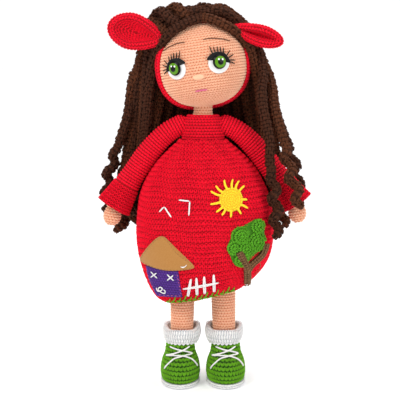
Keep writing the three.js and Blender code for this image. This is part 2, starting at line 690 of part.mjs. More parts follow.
// Outline of a lid in shares of its reach from the middle of the eye, the inner corner first
const lidShares = [
  [-1.1, 0.36], [-0.75, 0.78], [-0.1, 0.97], [0.5, 0.8], [0.86, 0.24], [0.95, -0.26], [0.8, -0.1],
  [0.76, 0.12], [0.52, 0.56], [0, 0.77], [-0.5, 0.58], [-0.72, 0.36],
];
const lashShares = [
  [[-0.46, 0.74], [-0.7, 1.6]], [[-0.23, 0.85], [-0.35, 1.52]], [[0.02, 0.88], [0, 1.5]],
  [[0.28, 0.8], [0.27, 1.42]], [[0.5, 0.66], [0.58, 1.3]], [[0.68, 0.42], [1.1, 0.98]],
  [[0.8, 0.22], [1.36, 0.52]], [[0.84, 0.02], [1.44, -0.1]], [[0.86, -0.12], [1.34, -0.44]],
];
const browShares = [[-1, 0.28], [-0.5, 0.3], [0, 0.235], [0.5, 0.1], [1, -0.11]];
for (const { name, side } of bothSides) {
  const center = eyeAt(side);
  const faceAt = ([x, z]) => flat(center.x + side * x * lash.lidReach, center.z + z * lash.lidReach);
  addMesh(faceGroup, `${name}_eye`, turnedToEye(stemOutline, side, 14), eyePlastic);
  addMesh(faceGroup, `${name}_eye_washer`, turnedToEye(washerOutline, side, 12), washerPlastic);
  const whiteAt = flat(center.x - side * eye.whiteHalfWidth * 0.13, center.z - eye.whiteHalfHeight * 0.13);
  const whiteShape = ovalShape(whiteAt, eye.whiteHalfWidth, eye.whiteHalfHeight);
  const stemRoom = turnedToEye(boreOutline, side, 12);
  const white = faceCover.intersect(frontBlock(whiteShape)).subtract(stemRoom);
  addMesh(faceGroup, `${name}_eye_white`, white, whiteFelt);
  const roomRadius = eye.domeRadius + seam;
  const roomOutline = [flat(0, 0), flat(roomRadius, 0), flat(roomRadius, overrun), flat(0, overrun)];
  const eyeRoom = turnedToEye(roomOutline, side, 18);
  const outline = lidShares.map(faceAt);
  const lashes = lashShares.map(([root, tip]) => frontBlock(
    strokeShape(faceAt(root), faceAt(tip), lash.width, 0.6)));
  const lid = joined([frontBlock(new THREE.Shape(outline)), ...lashes]);
  addMesh(faceGroup, `${name}_eyelid`, lidCover.intersect(lid).subtract(eyeRoom), blackFelt);
  const browPoints = browShares.map(([x, z]) => flat(
    side * (eye.spacing / 2 + x * brow.halfWidth), brow.height + z * brow.halfWidth));
  const browLine = browPoints.slice(1).map((end, index) => strokeShape(browPoints[index], end, brow.width));
  const browBends = browPoints.slice(1, -1).map((bend) => ovalShape(bend, brow.width / 2, brow.width / 2, 6));
  const browThread = joined([...browLine, ...browBends].map(frontBlock));
  addMesh(faceGroup, `${name}_brow`, faceCover.intersect(browThread), browYarn);
}
const noseBall = new THREE.SphereGeometry(1, 14, 8).scale(nose.halfWidth, nose.rise, nose.halfHeight)
  .translate(0, -Math.sqrt(head.radius ** 2 - nose.drop ** 2) * head.depthShare, -nose.drop);
addMesh(faceGroup, 'nose', toSolid(noseBall).subtract(underFace(seam)), skinYarn);
const mouthCorners = [flat(-mouth.halfWidth, -mouth.drop), flat(mouth.halfWidth, -mouth.drop)];
const lips = strokeShape(...mouthCorners, mouth.thickness, 0.8);
addMesh(faceGroup, 'mouth', faceCover.intersect(frontBlock(lips)), lipThread);

// Hood: a shell over the back of the head, cut by a leaning plane, with an ear at each side

const hoodNormal = at(Math.sin(hood.yaw), -Math.cos(hood.yaw), -hood.leanShare).normalize();
const openingBlock = new THREE.BoxGeometry(overrun * 2, overrun * 2, overrun * 2);
openingBlock.translate(0, 0, overrun + hood.edgeReach);
openingBlock.applyQuaternion(new THREE.Quaternion().setFromUnitVectors(at(0, 0, 1), hoodNormal));
const collarRoom = neckColumn(body.neckRadius + hood.neckRoom, -head.radius + hood.wall * 4);
const hoodOuter = headSolid(hood.wall + seam);
const hoodSolid = hoodOuter.subtract(headSolid(seam)).subtract(toSolid(openingBlock)).subtract(collarRoom);
addMesh(headGroup, 'hood', hoodSolid, redYarn);

const hoodRoom = headSolid(hood.wall + seam * 2);
function earSolid({ length, width, thickness, hollow, rim, rise }, side) {
  const spoon = new THREE.SphereGeometry(1, 12, 8).scale(length / 2, thickness / 2, width / 2);
  const dip = new THREE.SphereGeometry(1, 12, 8).scale(length / 2 - rim, hollow, width / 2 - rim);
  dip.translate(length * 0.02, -thickness * 0.42, 0);
  const cup = toSolid(spoon).subtract(toSolid(dip));
  const out = cup.translate([length / 2 - seam * 8, 0, 0]).rotate([0, -THREE.MathUtils.radToDeg(rise), 0]);
  const placed = out.translate([earBase.out, -earBase.forward, earBase.up]);
  return (side > 0 ? placed : placed.mirror([1, 0, 0])).subtract(hoodRoom);
}
addMesh(headGroup, 'right_ear', earSolid(openEar, -1), redYarn);
addMesh(headGroup, 'left_ear', earSolid(foldedEar, 1), redYarn);

// Hair: locks laid over the hood and sewn along its parting, each end hanging in a loose corkscrew

const crownRadius = head.radius + hood.wall + seam + hair.thickness / 2 - hair.sink;
const upperRadius = crownRadius + hair.thickness - hair.sink * 2;

// Direction from the middle of the head: up from level, and round from one side to the back
function headWay(side, up, round) {
  return at(side * Math.cos(up) * Math.cos(round), Math.cos(up) * Math.sin(round), Math.sin(up));
}
function onCrown(way, radius) {
  const flattened = way.clone().multiply(at(1, head.depthShare, 1)).multiplyScalar(radius);
  return flattened.applyAxisAngle(at(0, 1, 0), head.roll).add(headCenter);
}

function lockPoints(route, curls) {
  const curve = new THREE.CatmullRomCurve3(route, false, 'centripetal');
  const length = curve.getLength();
  const curlShare = (curls * hair.curlPitch) / length;
  const straightCount = Math.max(2, Math.round((length * (1 - curlShare)) / hair.straightStep));
  const curlCount = Math.round(curls * hair.curlSteps);
  const straight = Array.from({ length: straightCount }, (unused, step) => (
    curve.getPointAt((1 - curlShare) * (step / straightCount))));
  const curled = Array.from({ length: curlCount + 1 }, (unused, step) => {
    const point = curve.getPointAt(1 - curlShare * (1 - step / curlCount));
    const swing = hair.curlRadius * Math.min(1, step / hair.curlSteps + 0.1);
    const turn = (point.z / hair.curlPitch) * Math.PI * 2;
    return point.add(at(swing * Math.cos(turn), swing * Math.sin(turn), 0));
  });
  return [...straight, ...curled];
}

function lockSolid(points, offset = 0) {
  return toSolid(skin(pathRings(points, () => hair.thickness / 2 + offset, hair.sides)));
}

const hangLevels = hangLevelShares.map((shares) => at(...shares).multiplyScalar(hair.routeUnit));
function hangingRoute(side, index, endShare) {
  const round = hair.hangStart + hair.hangFan * index;
  const row = index % 2 === 1 ? hair.outerRow : 0;
  return hangLevels.map(({ x: height, y: halfWidth, z: halfDepth }, level) => at(
    side * (halfWidth + row) * Math.cos(round),
    (halfDepth + row) * Math.sin(round),
    level === hangLevels.length - 1 ? endShare * hair.routeUnit : height));
}

const lockPaths = {};
for (let index = 0; index < hair.crownLocks; index += 1) {
  const rise = hair.crownStart + hair.fan * index;
  const root = at(0, -Math.cos(rise), Math.sin(rise));
  const tails = Object.entries(lockEndShares).map(([name, ends]) => {
    const side = name === 'left' ? 1 : -1;
    const level = headWay(side, 0, hair.sideStart + hair.fan * index);
    const over = [0.3, 0.62, 1].map((share) => (
      onCrown(root.clone().lerp(level, share).normalize(), crownRadius)));
    const curls = index < 3 ? 3 : 2.5;
    const knot = index === 0 ? hair.knotRise : 0;
    const top = onCrown(root, crownRadius + knot);
    return lockPoints([top, ...over, ...hangingRoute(side, index, ends[index])], curls);
  });
  lockPaths[`crown_lock_${index + 1}`] = [...tails[0].toReversed(), ...tails[1].slice(1)];
}

// Short locks that close the back: how far up from level each starts, and where round the head
const backRoots = [{ up: degrees(18), round: degrees(69.5) }, { up: degrees(47), round: degrees(80) }];
const backWay = (side, up, round) => [1, 0.5, 0].map((share) => (
  onCrown(headWay(side, up * share, round), crownRadius)));
for (const { name, side } of bothSides) {
  backRoots.forEach(({ up, round }, step) => {
    const index = hair.crownLocks + step;
    const hang = hangingRoute(side, index, lockEndShares[name][index]);
    lockPaths[`${name}_back_lock_${step + 1}`] = lockPoints([...backWay(side, up, round), ...hang], 2.5);
  });
}
lockPaths.middle_back_lock = lockPoints([
  ...backWay(1, degrees(21), degrees(90)),
  ...hangLevels.map(({ x: height, z: halfDepth }) => at(0, halfDepth + hair.outerRow, height)),
], 2.5);

// Locks sewn over the others: up and round over the crown in degrees, then where each one hangs
const outerLocks = {
  right_outer_lock: {
    side: -1,
    over: [[62, -40], [44, -4], [26, 12], [8, 18]],
    hangShares: [
      [0.69, 0.2, 3.12], [0.73, 0.21, 2.92], [0.76, 0.22, 2.72], [0.83, 0.23, 2.48], [0.91, 0.25, 2.26],
      [0.97, 0.27, 2.03], [0.99, 0.29, 1.72],
    ],
  },
  right_inner_lock: {
    side: -1,
    over: [[40, 26], [22, 30], [6, 32]],
    hangShares: [
      [0.65, 0.29, 3.05], [0.67, 0.28, 2.85], [0.7, 0.29, 2.62], [0.75, 0.3, 2.35], [0.81, 0.32, 2.05],
      [0.83, 0.34, 1.66],
    ],
  },
  left_front_lock: {
    side: 1,
    over: [[46, 14], [28, 12], [8, 6]],
    hangShares: [
      [0.59, -0.04, 3.12], [0.57, -0.13, 2.96], [0.58, -0.18, 2.8], [0.62, -0.22, 2.62], [0.65, -0.25, 2.45],
      [0.65, -0.26, 2.26], [0.68, -0.28, 2.05], [0.71, -0.3, 1.78], [0.71, -0.31, 1.52],
    ],
  },
  left_middle_lock: {
    side: 1,
    over: [[42, 30], [24, 26], [8, 20]],
    hangShares: [
      [0.65, 0.12, 3.12], [0.69, 0.02, 2.96], [0.7, -0.09, 2.84], [0.72, -0.17, 2.7], [0.77, -0.21, 2.52],
      [0.81, -0.24, 2.33], [0.85, -0.27, 2.14], [0.9, -0.29, 2], [0.94, -0.31, 1.81],
    ],
  },
  left_outer_lock: {
    side: 1,
    over: [[36, 44], [18, 38], [4, 32]],
    hangShares: [
      [0.64, 0.3, 3.12], [0.69, 0.26, 2.95], [0.72, 0.22, 2.8], [0.77, 0.21, 2.64], [0.83, 0.22, 2.48],
      [0.88, 0.23, 2.33], [0.93, 0.24, 2.18], [0.97, 0.27, 2], [0.97, 0.29, 1.78],
    ],
  },
};
for (const [name, { side, over, hangShares }] of Object.entries(outerLocks)) {
  const start = over.map(([up, round]) => onCrown(headWay(side, degrees(up), degrees(round)), upperRadius));
  const hang = hangShares.map(([x, y, z]) => at(side * x, y, z).multiplyScalar(hair.routeUnit));
  lockPaths[name] = lockPoints([...start, ...hang], 3.5);
}

// Clear space between two lengths of one lock that lie more than two thicknesses apart along it
function leastGap(path) {
  const fine = new THREE.CatmullRomCurve3(path, false, 'centripetal');
  const count = Math.round((fine.getLength() * 2) / hair.curlRadius);
  const points = fine.getSpacedPoints(count);
  const skip = Math.ceil((hair.thickness * 2 * count) / fine.getLength());
  return points.reduce((least, point, index) => (
    points.slice(index + skip).reduce((near, beside) => Math.min(near, point.distanceTo(beside)), least)
  ), Infinity) - hair.thickness;
}
// Each lock beds on the hood, and an outer lock on the crown locks under it too
const hoodTop = hoodRoom.rotate([0, THREE.MathUtils.radToDeg(head.roll), 0]).translate(headCenter.toArray());
const crownRoom = joined(Object.entries(lockPaths)
  .filter(([name]) => !(name in outerLocks))
  .map(([, path]) => lockSolid(path, seam)));
for (const [name, path] of Object.entries(lockPaths)) {
  console.log(`${name}: least gap to itself ${leastGap(path).toFixed(1)} mm`);
  const lock = lockSolid(path).subtract(hoodTop);
  addMesh(doll, name, name in outerLocks ? lock.subtract(crownRoom) : lock, hairYarn);
}

// The origin is the middle of the bottom of the body without the locks

doll.updateMatrixWorld(true);
const bounds = new THREE.Box3();
doll.traverse((piece) => {
  if (piece.isMesh && !(piece.name in lockPaths)) bounds.expandByObject(piece, true);
});
const base = bounds.getCenter(new THREE.Vector3());
doll.position.set(-base.x, -base.y, -bounds.min.z);
doll.updateMatrixWorld(true);

export default doll;
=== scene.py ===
import json
import math

import bpy
import numpy as np
from mathutils import Matrix, Vector
from mathutils.bvhtree import BVHTree
from mathutils.geometry import delaunay_2d_cdt
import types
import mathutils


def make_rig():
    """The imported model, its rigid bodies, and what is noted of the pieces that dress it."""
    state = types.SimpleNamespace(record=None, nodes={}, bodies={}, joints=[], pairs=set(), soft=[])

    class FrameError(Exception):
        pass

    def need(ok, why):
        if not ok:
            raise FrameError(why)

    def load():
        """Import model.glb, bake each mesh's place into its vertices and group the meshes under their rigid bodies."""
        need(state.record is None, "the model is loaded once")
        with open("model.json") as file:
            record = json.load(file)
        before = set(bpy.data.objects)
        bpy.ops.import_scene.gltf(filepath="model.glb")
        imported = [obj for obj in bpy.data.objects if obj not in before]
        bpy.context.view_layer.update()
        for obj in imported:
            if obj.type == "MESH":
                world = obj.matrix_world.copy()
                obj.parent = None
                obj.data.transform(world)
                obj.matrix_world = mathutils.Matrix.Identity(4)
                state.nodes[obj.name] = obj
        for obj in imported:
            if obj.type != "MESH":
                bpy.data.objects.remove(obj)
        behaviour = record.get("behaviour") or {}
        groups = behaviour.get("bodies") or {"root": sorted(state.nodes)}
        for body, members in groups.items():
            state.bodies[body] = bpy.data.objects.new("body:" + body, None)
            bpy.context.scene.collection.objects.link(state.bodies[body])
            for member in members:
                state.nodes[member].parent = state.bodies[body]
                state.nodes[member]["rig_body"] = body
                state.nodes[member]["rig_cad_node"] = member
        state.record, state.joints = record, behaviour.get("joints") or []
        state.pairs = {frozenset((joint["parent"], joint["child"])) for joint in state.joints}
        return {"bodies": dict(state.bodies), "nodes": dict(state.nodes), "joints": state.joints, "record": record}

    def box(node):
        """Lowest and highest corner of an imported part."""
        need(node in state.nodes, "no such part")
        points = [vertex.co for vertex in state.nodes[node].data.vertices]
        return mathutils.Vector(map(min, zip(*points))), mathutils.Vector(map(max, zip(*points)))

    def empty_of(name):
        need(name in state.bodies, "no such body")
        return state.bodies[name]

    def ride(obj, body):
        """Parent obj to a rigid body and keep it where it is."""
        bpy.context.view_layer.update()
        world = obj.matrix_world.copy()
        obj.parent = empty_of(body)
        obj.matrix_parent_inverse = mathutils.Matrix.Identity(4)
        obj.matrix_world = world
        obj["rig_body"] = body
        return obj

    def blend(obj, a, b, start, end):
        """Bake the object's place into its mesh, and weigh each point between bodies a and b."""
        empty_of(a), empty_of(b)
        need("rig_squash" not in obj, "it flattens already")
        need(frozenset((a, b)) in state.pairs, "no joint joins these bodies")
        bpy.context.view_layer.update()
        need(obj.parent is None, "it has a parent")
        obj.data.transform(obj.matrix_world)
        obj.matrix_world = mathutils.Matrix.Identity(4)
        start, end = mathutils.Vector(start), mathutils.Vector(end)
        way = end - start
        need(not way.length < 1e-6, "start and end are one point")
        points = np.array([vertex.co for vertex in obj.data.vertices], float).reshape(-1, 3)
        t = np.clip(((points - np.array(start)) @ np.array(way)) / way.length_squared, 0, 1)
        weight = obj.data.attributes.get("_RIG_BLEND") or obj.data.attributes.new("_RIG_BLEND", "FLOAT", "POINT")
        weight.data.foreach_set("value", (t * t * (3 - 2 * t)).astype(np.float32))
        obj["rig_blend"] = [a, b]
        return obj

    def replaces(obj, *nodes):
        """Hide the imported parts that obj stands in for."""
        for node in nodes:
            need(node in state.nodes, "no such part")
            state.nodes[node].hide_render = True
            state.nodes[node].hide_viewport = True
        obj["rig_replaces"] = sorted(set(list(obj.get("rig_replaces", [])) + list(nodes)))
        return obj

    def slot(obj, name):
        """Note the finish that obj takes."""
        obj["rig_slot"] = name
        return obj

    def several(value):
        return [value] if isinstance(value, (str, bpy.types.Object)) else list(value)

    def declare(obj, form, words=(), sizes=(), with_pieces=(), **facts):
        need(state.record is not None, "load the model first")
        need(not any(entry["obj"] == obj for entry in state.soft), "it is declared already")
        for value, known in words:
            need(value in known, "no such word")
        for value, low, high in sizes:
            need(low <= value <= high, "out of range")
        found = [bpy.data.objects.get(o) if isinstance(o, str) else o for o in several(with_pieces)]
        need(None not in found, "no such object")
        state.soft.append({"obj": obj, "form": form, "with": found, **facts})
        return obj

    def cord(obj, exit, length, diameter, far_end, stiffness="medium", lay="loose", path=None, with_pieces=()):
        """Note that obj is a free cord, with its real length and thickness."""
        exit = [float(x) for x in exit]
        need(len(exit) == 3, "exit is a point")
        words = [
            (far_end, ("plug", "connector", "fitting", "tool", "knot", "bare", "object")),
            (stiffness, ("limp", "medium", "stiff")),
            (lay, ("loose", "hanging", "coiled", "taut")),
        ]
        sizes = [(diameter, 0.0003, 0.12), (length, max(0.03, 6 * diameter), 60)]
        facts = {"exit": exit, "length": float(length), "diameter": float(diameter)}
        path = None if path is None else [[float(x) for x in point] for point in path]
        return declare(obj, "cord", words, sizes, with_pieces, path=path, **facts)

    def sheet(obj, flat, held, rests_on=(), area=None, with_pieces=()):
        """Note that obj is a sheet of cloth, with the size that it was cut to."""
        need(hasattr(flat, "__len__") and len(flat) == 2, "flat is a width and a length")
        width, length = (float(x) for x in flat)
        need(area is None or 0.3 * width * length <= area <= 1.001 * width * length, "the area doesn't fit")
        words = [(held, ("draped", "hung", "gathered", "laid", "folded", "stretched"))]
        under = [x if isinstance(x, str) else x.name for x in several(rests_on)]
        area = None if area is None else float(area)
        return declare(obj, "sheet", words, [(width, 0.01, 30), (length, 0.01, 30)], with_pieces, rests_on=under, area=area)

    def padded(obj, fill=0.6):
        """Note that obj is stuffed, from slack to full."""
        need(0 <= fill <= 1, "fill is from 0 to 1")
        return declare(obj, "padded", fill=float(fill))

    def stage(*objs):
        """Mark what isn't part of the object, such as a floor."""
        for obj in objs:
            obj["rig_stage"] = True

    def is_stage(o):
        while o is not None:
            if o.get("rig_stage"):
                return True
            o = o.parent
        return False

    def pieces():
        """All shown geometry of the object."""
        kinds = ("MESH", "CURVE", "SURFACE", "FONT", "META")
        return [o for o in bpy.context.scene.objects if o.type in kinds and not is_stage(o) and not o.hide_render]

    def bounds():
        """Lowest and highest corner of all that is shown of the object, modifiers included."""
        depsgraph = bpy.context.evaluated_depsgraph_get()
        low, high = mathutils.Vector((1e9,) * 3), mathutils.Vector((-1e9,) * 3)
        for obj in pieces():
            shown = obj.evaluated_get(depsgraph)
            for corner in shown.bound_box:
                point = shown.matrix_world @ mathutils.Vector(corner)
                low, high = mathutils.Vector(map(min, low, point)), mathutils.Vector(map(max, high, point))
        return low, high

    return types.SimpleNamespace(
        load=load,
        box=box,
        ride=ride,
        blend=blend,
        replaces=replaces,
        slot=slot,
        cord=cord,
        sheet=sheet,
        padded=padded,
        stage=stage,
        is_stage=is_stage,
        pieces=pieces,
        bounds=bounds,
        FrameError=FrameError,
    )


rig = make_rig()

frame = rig.load()
cadLow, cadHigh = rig.bounds()
scene = bpy.context.scene
mm = 0.001
torsoLow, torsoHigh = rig.box("torso")
bodyMiddle = (torsoLow.x + torsoHigh.x) / 2


# A point given in millimetres from the middle of the doll's body, on the ground
def place(x, y, z):
    return Vector((bodyMiddle + x * mm, y * mm, z * mm))


# Camera at the photograph's height and distance, then the floor and the lamps

view = {"away": 1100, "height": 310, "aside": -3, "aim": 186, "lens": 99.6}


def makeCamera():
    data = bpy.data.cameras.new("view")
    data.lens = view["lens"]
    data.sensor_width = 36
    data.clip_end = 20
    camera = bpy.data.objects.new("view", data)
    camera.location = place(view["aside"], -view["away"], view["height"])
    aim = place(view["aside"], 0, view["aim"])
    camera.rotation_euler = (aim - camera.location).to_track_quat("-Z", "Y").to_euler()
    scene.collection.objects.link(camera)
    scene.camera = camera


makeCamera()
lamps = [
    {"name": "key", "at": (-0.75, -1.1, 1.25), "size": 0.9, "watts": 15.5, "color": (1, 0.985, 0.96)},
    {"name": "fill", "at": (1.15, -0.85, 0.75), "size": 1.1, "watts": 7.5, "color": (0.96, 0.98, 1)},
    {"name": "top", "at": (0.1, 0.35, 1.5), "size": 1.0, "watts": 9, "color": (1, 1, 1)},
]
studio = {"aim": (0, 0, 0.2), "worldLight": 0.62, "halfWidth": 4,
          "paper": {"Base Color": (0.86, 0.86, 0.87, 1), "Roughness": 0.95, "Specular IOR Level": 0.1,
                    "Emission Color": (1, 1, 1, 1), "Emission Strength": 0.22},
          "sweep": [(-3, 0), (1.2, 0), (1.7, 0.08), (2.05, 0.32), (2.2, 0.8), (2.2, 3.5)]}


# A material with its plain settings, and the tree and the shader that its textures go into
def newMaterial(name, settings):
    material = bpy.data.materials.new(name)
    material.use_nodes = True
    shader = material.node_tree.nodes["Principled BSDF"]
    for label, value in settings.items():
        shader.inputs[label].default_value = value
    return material, material.node_tree, shader


def newObject(name, verts, faces, uvs=None, toneAndShade=None):
    mesh = bpy.data.meshes.new(name)
    mesh.from_pydata([tuple(v) for v in verts], [], faces)
    for face in mesh.polygons:
        face.use_smooth = True
    if uvs is not None:
        layer = mesh.uv_layers.new(name="strand")
        layer.data.foreach_set("uv", np.asarray(uvs, float)[[v for f in faces for v in f]].ravel())
    if toneAndShade is not None:
        layer = mesh.attributes.new("toneAndShade", "FLOAT", "POINT")
        layer.data.foreach_set("value", np.full(len(mesh.vertices), toneAndShade))
    made = bpy.data.objects.new(name, mesh)
    scene.collection.objects.link(made)
    return made


def withLook(made, look):
    made.data.materials.append(look)
    return made


def makeStudio():
    world = bpy.data.worlds.new("studio")
    world.use_nodes = True
    sky = world.node_tree.nodes["Background"].inputs
    sky["Color"].default_value = (1, 1, 1, 1)
    sky["Strength"].default_value = studio["worldLight"]
    scene.world = world
    for lamp in lamps:
        data = bpy.data.lights.new(lamp["name"], "AREA")
        data.shape = "DISK"
        data.size = lamp["size"]
        data.energy = lamp["watts"]
        data.color = lamp["color"]
        light = bpy.data.objects.new(lamp["name"], data)
        light.location = Vector(lamp["at"])
        light.rotation_euler = (Vector(studio["aim"]) - light.location).to_track_quat("-Z", "Y").to_euler()
        scene.collection.objects.link(light)
    sweep, half = studio["sweep"], studio["halfWidth"]
    corners = [(x, y, z) for y, z in sweep for x in (-half, half)]
    faces = [(2 * i, 2 * i + 1, 2 * i + 3, 2 * i + 2) for i in range(len(sweep) - 1)]
    backdrop = withLook(newObject("backdrop", corners, faces), newMaterial("backdrop_paper", studio["paper"])[0])
    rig.stage(backdrop)


makeStudio()
scene.view_settings.view_transform = "Standard"
print("studio made")

# Colours and shader groups


def paint(code):
    values = [int(code[i:i + 2], 16) / 255 for i in (0, 2, 4)]
    return tuple(v / 12.92 if v <= 0.04045 else ((v + 0.055) / 1.055) ** 2.4 for v in values) + (1,)


def newGroup(name, inputs, outputs):
    group = bpy.data.node_groups.new(name, "ShaderNodeTree")
    for label, kind, value in inputs:
        socket = group.interface.new_socket(label, in_out="INPUT", socket_type=kind)
        socket.default_value = value
    for label, kind in outputs:
        group.interface.new_socket(label, in_out="OUTPUT", socket_type=kind)
    return group, group.nodes.new("NodeGroupInput"), group.nodes.new("NodeGroupOutput")


def mathNode(tree, operation, first, second=None, third=None):
    node = tree.nodes.new("ShaderNodeMath")
    node.operation = operation
    for socket, value in zip(node.inputs, (first, second, third)):
        if value is None:
            continue
        if isinstance(value, (int, float)):
            socket.default_value = value
        else:
            tree.links.new(value, socket)
    return node.outputs[0]


def mixNode(tree, factor, first, second, blend="MIX"):
    node = tree.nodes.new("ShaderNodeMix")
    node.data_type = "RGBA"
    node.blend_type = blend
    for socket, value in ((node.inputs[0], factor), (node.inputs[6], first), (node.inputs[7], second)):
        if isinstance(value, (int, float, tuple)):
            socket.default_value = value
        else:
            tree.links.new(value, socket)
    return node.outputs[2]


def noiseNode(tree, scale, detail=2.0, vector=None):
    node = tree.nodes.new("ShaderNodeTexNoise")
    node.inputs["Scale"].default_value = scale
    node.inputs["Detail"].default_value = detail
    if vector is None:
        vector = tree.nodes.new("ShaderNodeTexCoord").outputs["Object"]
    tree.links.new(vector, node.inputs["Vector"])
    return node.outputs["Fac"]


def bumpNode(tree, height, distance, strength):
    node = tree.nodes.new("ShaderNodeBump")
    node.inputs["Distance"].default_value = distance
    tree.links.new(height, node.inputs["Height"])
    if isinstance(strength, float):
        node.inputs["Strength"].default_value = strength
    else:
        tree.links.new(strength, node.inputs["Strength"])
    return node.outputs[0]


mottleScale = {"fine": 420, "broad": 45}


# Yarn colour: painted shade between the stitches, where the under layer and the lower tones mix toward the yarn's
# darker shade colour; a little uneven from stitch to stitch and along the strand
def makeYarnToneAndShade():
    group, given, result = newGroup(
        "yarn_tone_and_shade",
        [("Color", "NodeSocketColor", (1, 1, 1, 1)), ("Deep", "NodeSocketColor", (0, 0, 0, 1)),
         ("Mottle", "NodeSocketFloat", 0.15)],
        [("Color", "NodeSocketColor")],
    )
    toneAndShade = group.nodes.new("ShaderNodeAttribute")
    toneAndShade.attribute_name = "toneAndShade"
    fine = mathNode(group, "SUBTRACT", noiseNode(group, mottleScale["fine"], 3), 0.5)
    broad = mathNode(group, "SUBTRACT", noiseNode(group, mottleScale["broad"], 1), 0.5)
    amount = mathNode(group, "MULTIPLY_ADD", mathNode(group, "ADD", fine, broad), given.outputs[2], 1)
    shade = group.nodes.new("ShaderNodeCombineColor")
    for socket in shade.inputs[:3]:
        group.links.new(amount, socket)
    # Lower tones mix toward the shade colour: painted shade on the under layer seen between the stitches
    shadedColor = mixNode(group, toneAndShade.outputs["Fac"], given.outputs[1], given.outputs[0])
    group.links.new(mixNode(group, 1.0, shadedColor, shade.outputs[0], "MULTIPLY"), result.inputs[0])
    return group


plies = {"strength": 0.6, "turns": 2.0, "relief": 0.00012, "fibres": 2.2, "fibreScale": 2600}


# The lay of the plies along each strand, and loose fibres over it
def makePlyRelief():
    group, given, result = newGroup(
        "ply_relief",
        [("Strength", "NodeSocketFloat", plies["strength"]), ("Turns", "NodeSocketFloat", plies["turns"])],
        [("Normal", "NodeSocketVector")],
    )
    strand = group.nodes.new("ShaderNodeUVMap")
    strand.uv_map = "strand"
    parts = group.nodes.new("ShaderNodeSeparateXYZ")
    group.links.new(strand.outputs[0], parts.inputs[0])
    turned = mathNode(group, "MULTIPLY_ADD", parts.outputs[0], given.outputs[1],
                      mathNode(group, "MULTIPLY", parts.outputs[1], 2))
    wave = mathNode(group, "SINE", mathNode(group, "MULTIPLY", turned, math.tau))
    fibres = mathNode(group, "MULTIPLY", noiseNode(group, plies["fibreScale"], 3), plies["fibres"])
    height = mathNode(group, "ADD", wave, fibres)
    group.links.new(bumpNode(group, height, plies["relief"], given.outputs[0]), result.inputs[0])
    return group


yarnToneAndShade = makeYarnToneAndShade()
plyRelief = makePlyRelief()


def addGroup(tree, group, **values):
    node = tree.nodes.new("ShaderNodeGroup")
    node.node_tree = group
    for label, value in values.items():
        node.inputs[label].default_value = value
    return node


# Each yarn: its colour, a lighter colour for the painted rim sheen and the shader's sheen tint, a darker colour for the
# painted shade between stitches, and how much it mottles
yarns = {
    "skin": {"color": "FFC8A4", "rimSheen": "FFE2CE", "deep": "DE8660", "mottle": 0.08},
    "red": {"color": "F2042A", "rimSheen": "FA1E3C", "deep": "98000E", "mottle": 0.14},
    "hair": {"color": "542B15", "rimSheen": "663C24", "deep": "200E06", "mottle": 0.35},
    "shadedHair": {"color": "42200F", "rimSheen": "52301C", "deep": "1A0B05", "mottle": 0.35},
    "shoe": {"color": "62A416", "rimSheen": "92CC4C", "deep": "1C4204", "mottle": 0.18},
    "leaf": {"color": "5AAA20", "rimSheen": "86C850", "deep": "1C4A06", "mottle": 0.25},
    "bark": {"color": "8A6444", "rimSheen": "AA8866", "deep": "42290F", "mottle": 0.25},
    "white": {"color": "EFEEEC", "rimSheen": "FAFAFA", "deep": "BEC0C4", "mottle": 0.05},
    "sun": {"color": "FCDD2E", "rimSheen": "FFF07A", "deep": "E09A08", "mottle": 0.08},
    "wall": {"color": "5E3398", "rimSheen": "8A66BC", "deep": "24104A", "mottle": 0.2},
    "lip": {"color": "E8749A", "rimSheen": "F4A0B8", "deep": "C04A74", "mottle": 0.08},
    "brow": {"color": "4A2A1E", "rimSheen": "5C3A2C", "deep": "2A1610", "mottle": 0.1},
    "lash": {"color": "121010", "rimSheen": "242222", "deep": "060606", "mottle": 0.1},
}
yarnSurface = {"Roughness": 0.88, "Specular IOR Level": 0.22, "Sheen Weight": 0.12, "Sheen Roughness": 0.5}
# How far in from the edges the painted rim sheen reaches, and how strong it is
paintedRimSheen = {"blend": 0.28, "strength": 0.3}


def yarnMaterial(name):
    yarn = yarns[name]
    rimSheen = paint(yarn["rimSheen"])
    material, tree, shader = newMaterial(name + "_yarn_look", {**yarnSurface, "Sheen Tint": rimSheen})
    toneAndShade = addGroup(tree, yarnToneAndShade, Color=paint(yarn["color"]), Deep=paint(yarn["deep"]), Mottle=yarn["mottle"])
    # Toward grazing angles the colour is mixed toward the lighter sheen colour: a painted rim sheen
    edge = tree.nodes.new("ShaderNodeLayerWeight")
    edge.inputs["Blend"].default_value = paintedRimSheen["blend"]
    share = mathNode(tree, "MULTIPLY", edge.outputs["Facing"], paintedRimSheen["strength"])
    tree.links.new(mixNode(tree, share, toneAndShade.outputs[0], rimSheen), shader.inputs["Base Color"])
    tree.links.new(addGroup(tree, plyRelief).outputs[0], shader.inputs["Normal"])
    return material


yarnLooks = {name: yarnMaterial(name) for name in yarns}
feltSurface = {"Roughness": 0.96, "Specular IOR Level": 0.12, "Sheen Weight": 0.2}
feltGrain = {"flecks": 0.55, "fleckScale": 900, "reliefScale": 1500, "relief": 0.00015, "strength": 0.6}


def feltMaterial(name, color, fibre):
    material, tree, shader = newMaterial(name, feltSurface)
    flecks = mathNode(tree, "MULTIPLY", noiseNode(tree, feltGrain["fleckScale"], 6), feltGrain["flecks"])
    tree.links.new(mixNode(tree, flecks, paint(color), paint(fibre)), shader.inputs["Base Color"])
    relief = bumpNode(tree, noiseNode(tree, feltGrain["reliefScale"], 5), feltGrain["relief"], feltGrain["strength"])
    tree.links.new(relief, shader.inputs["Normal"])
    return material


tanFelt = feltMaterial("tan_felt_look", "A06C32", "C09056")
whiteFelt = feltMaterial("white_felt_look", "DEDEDD", "EAEAE9")
blackFelt = feltMaterial("black_felt_look", "101010", "2A2A2A")

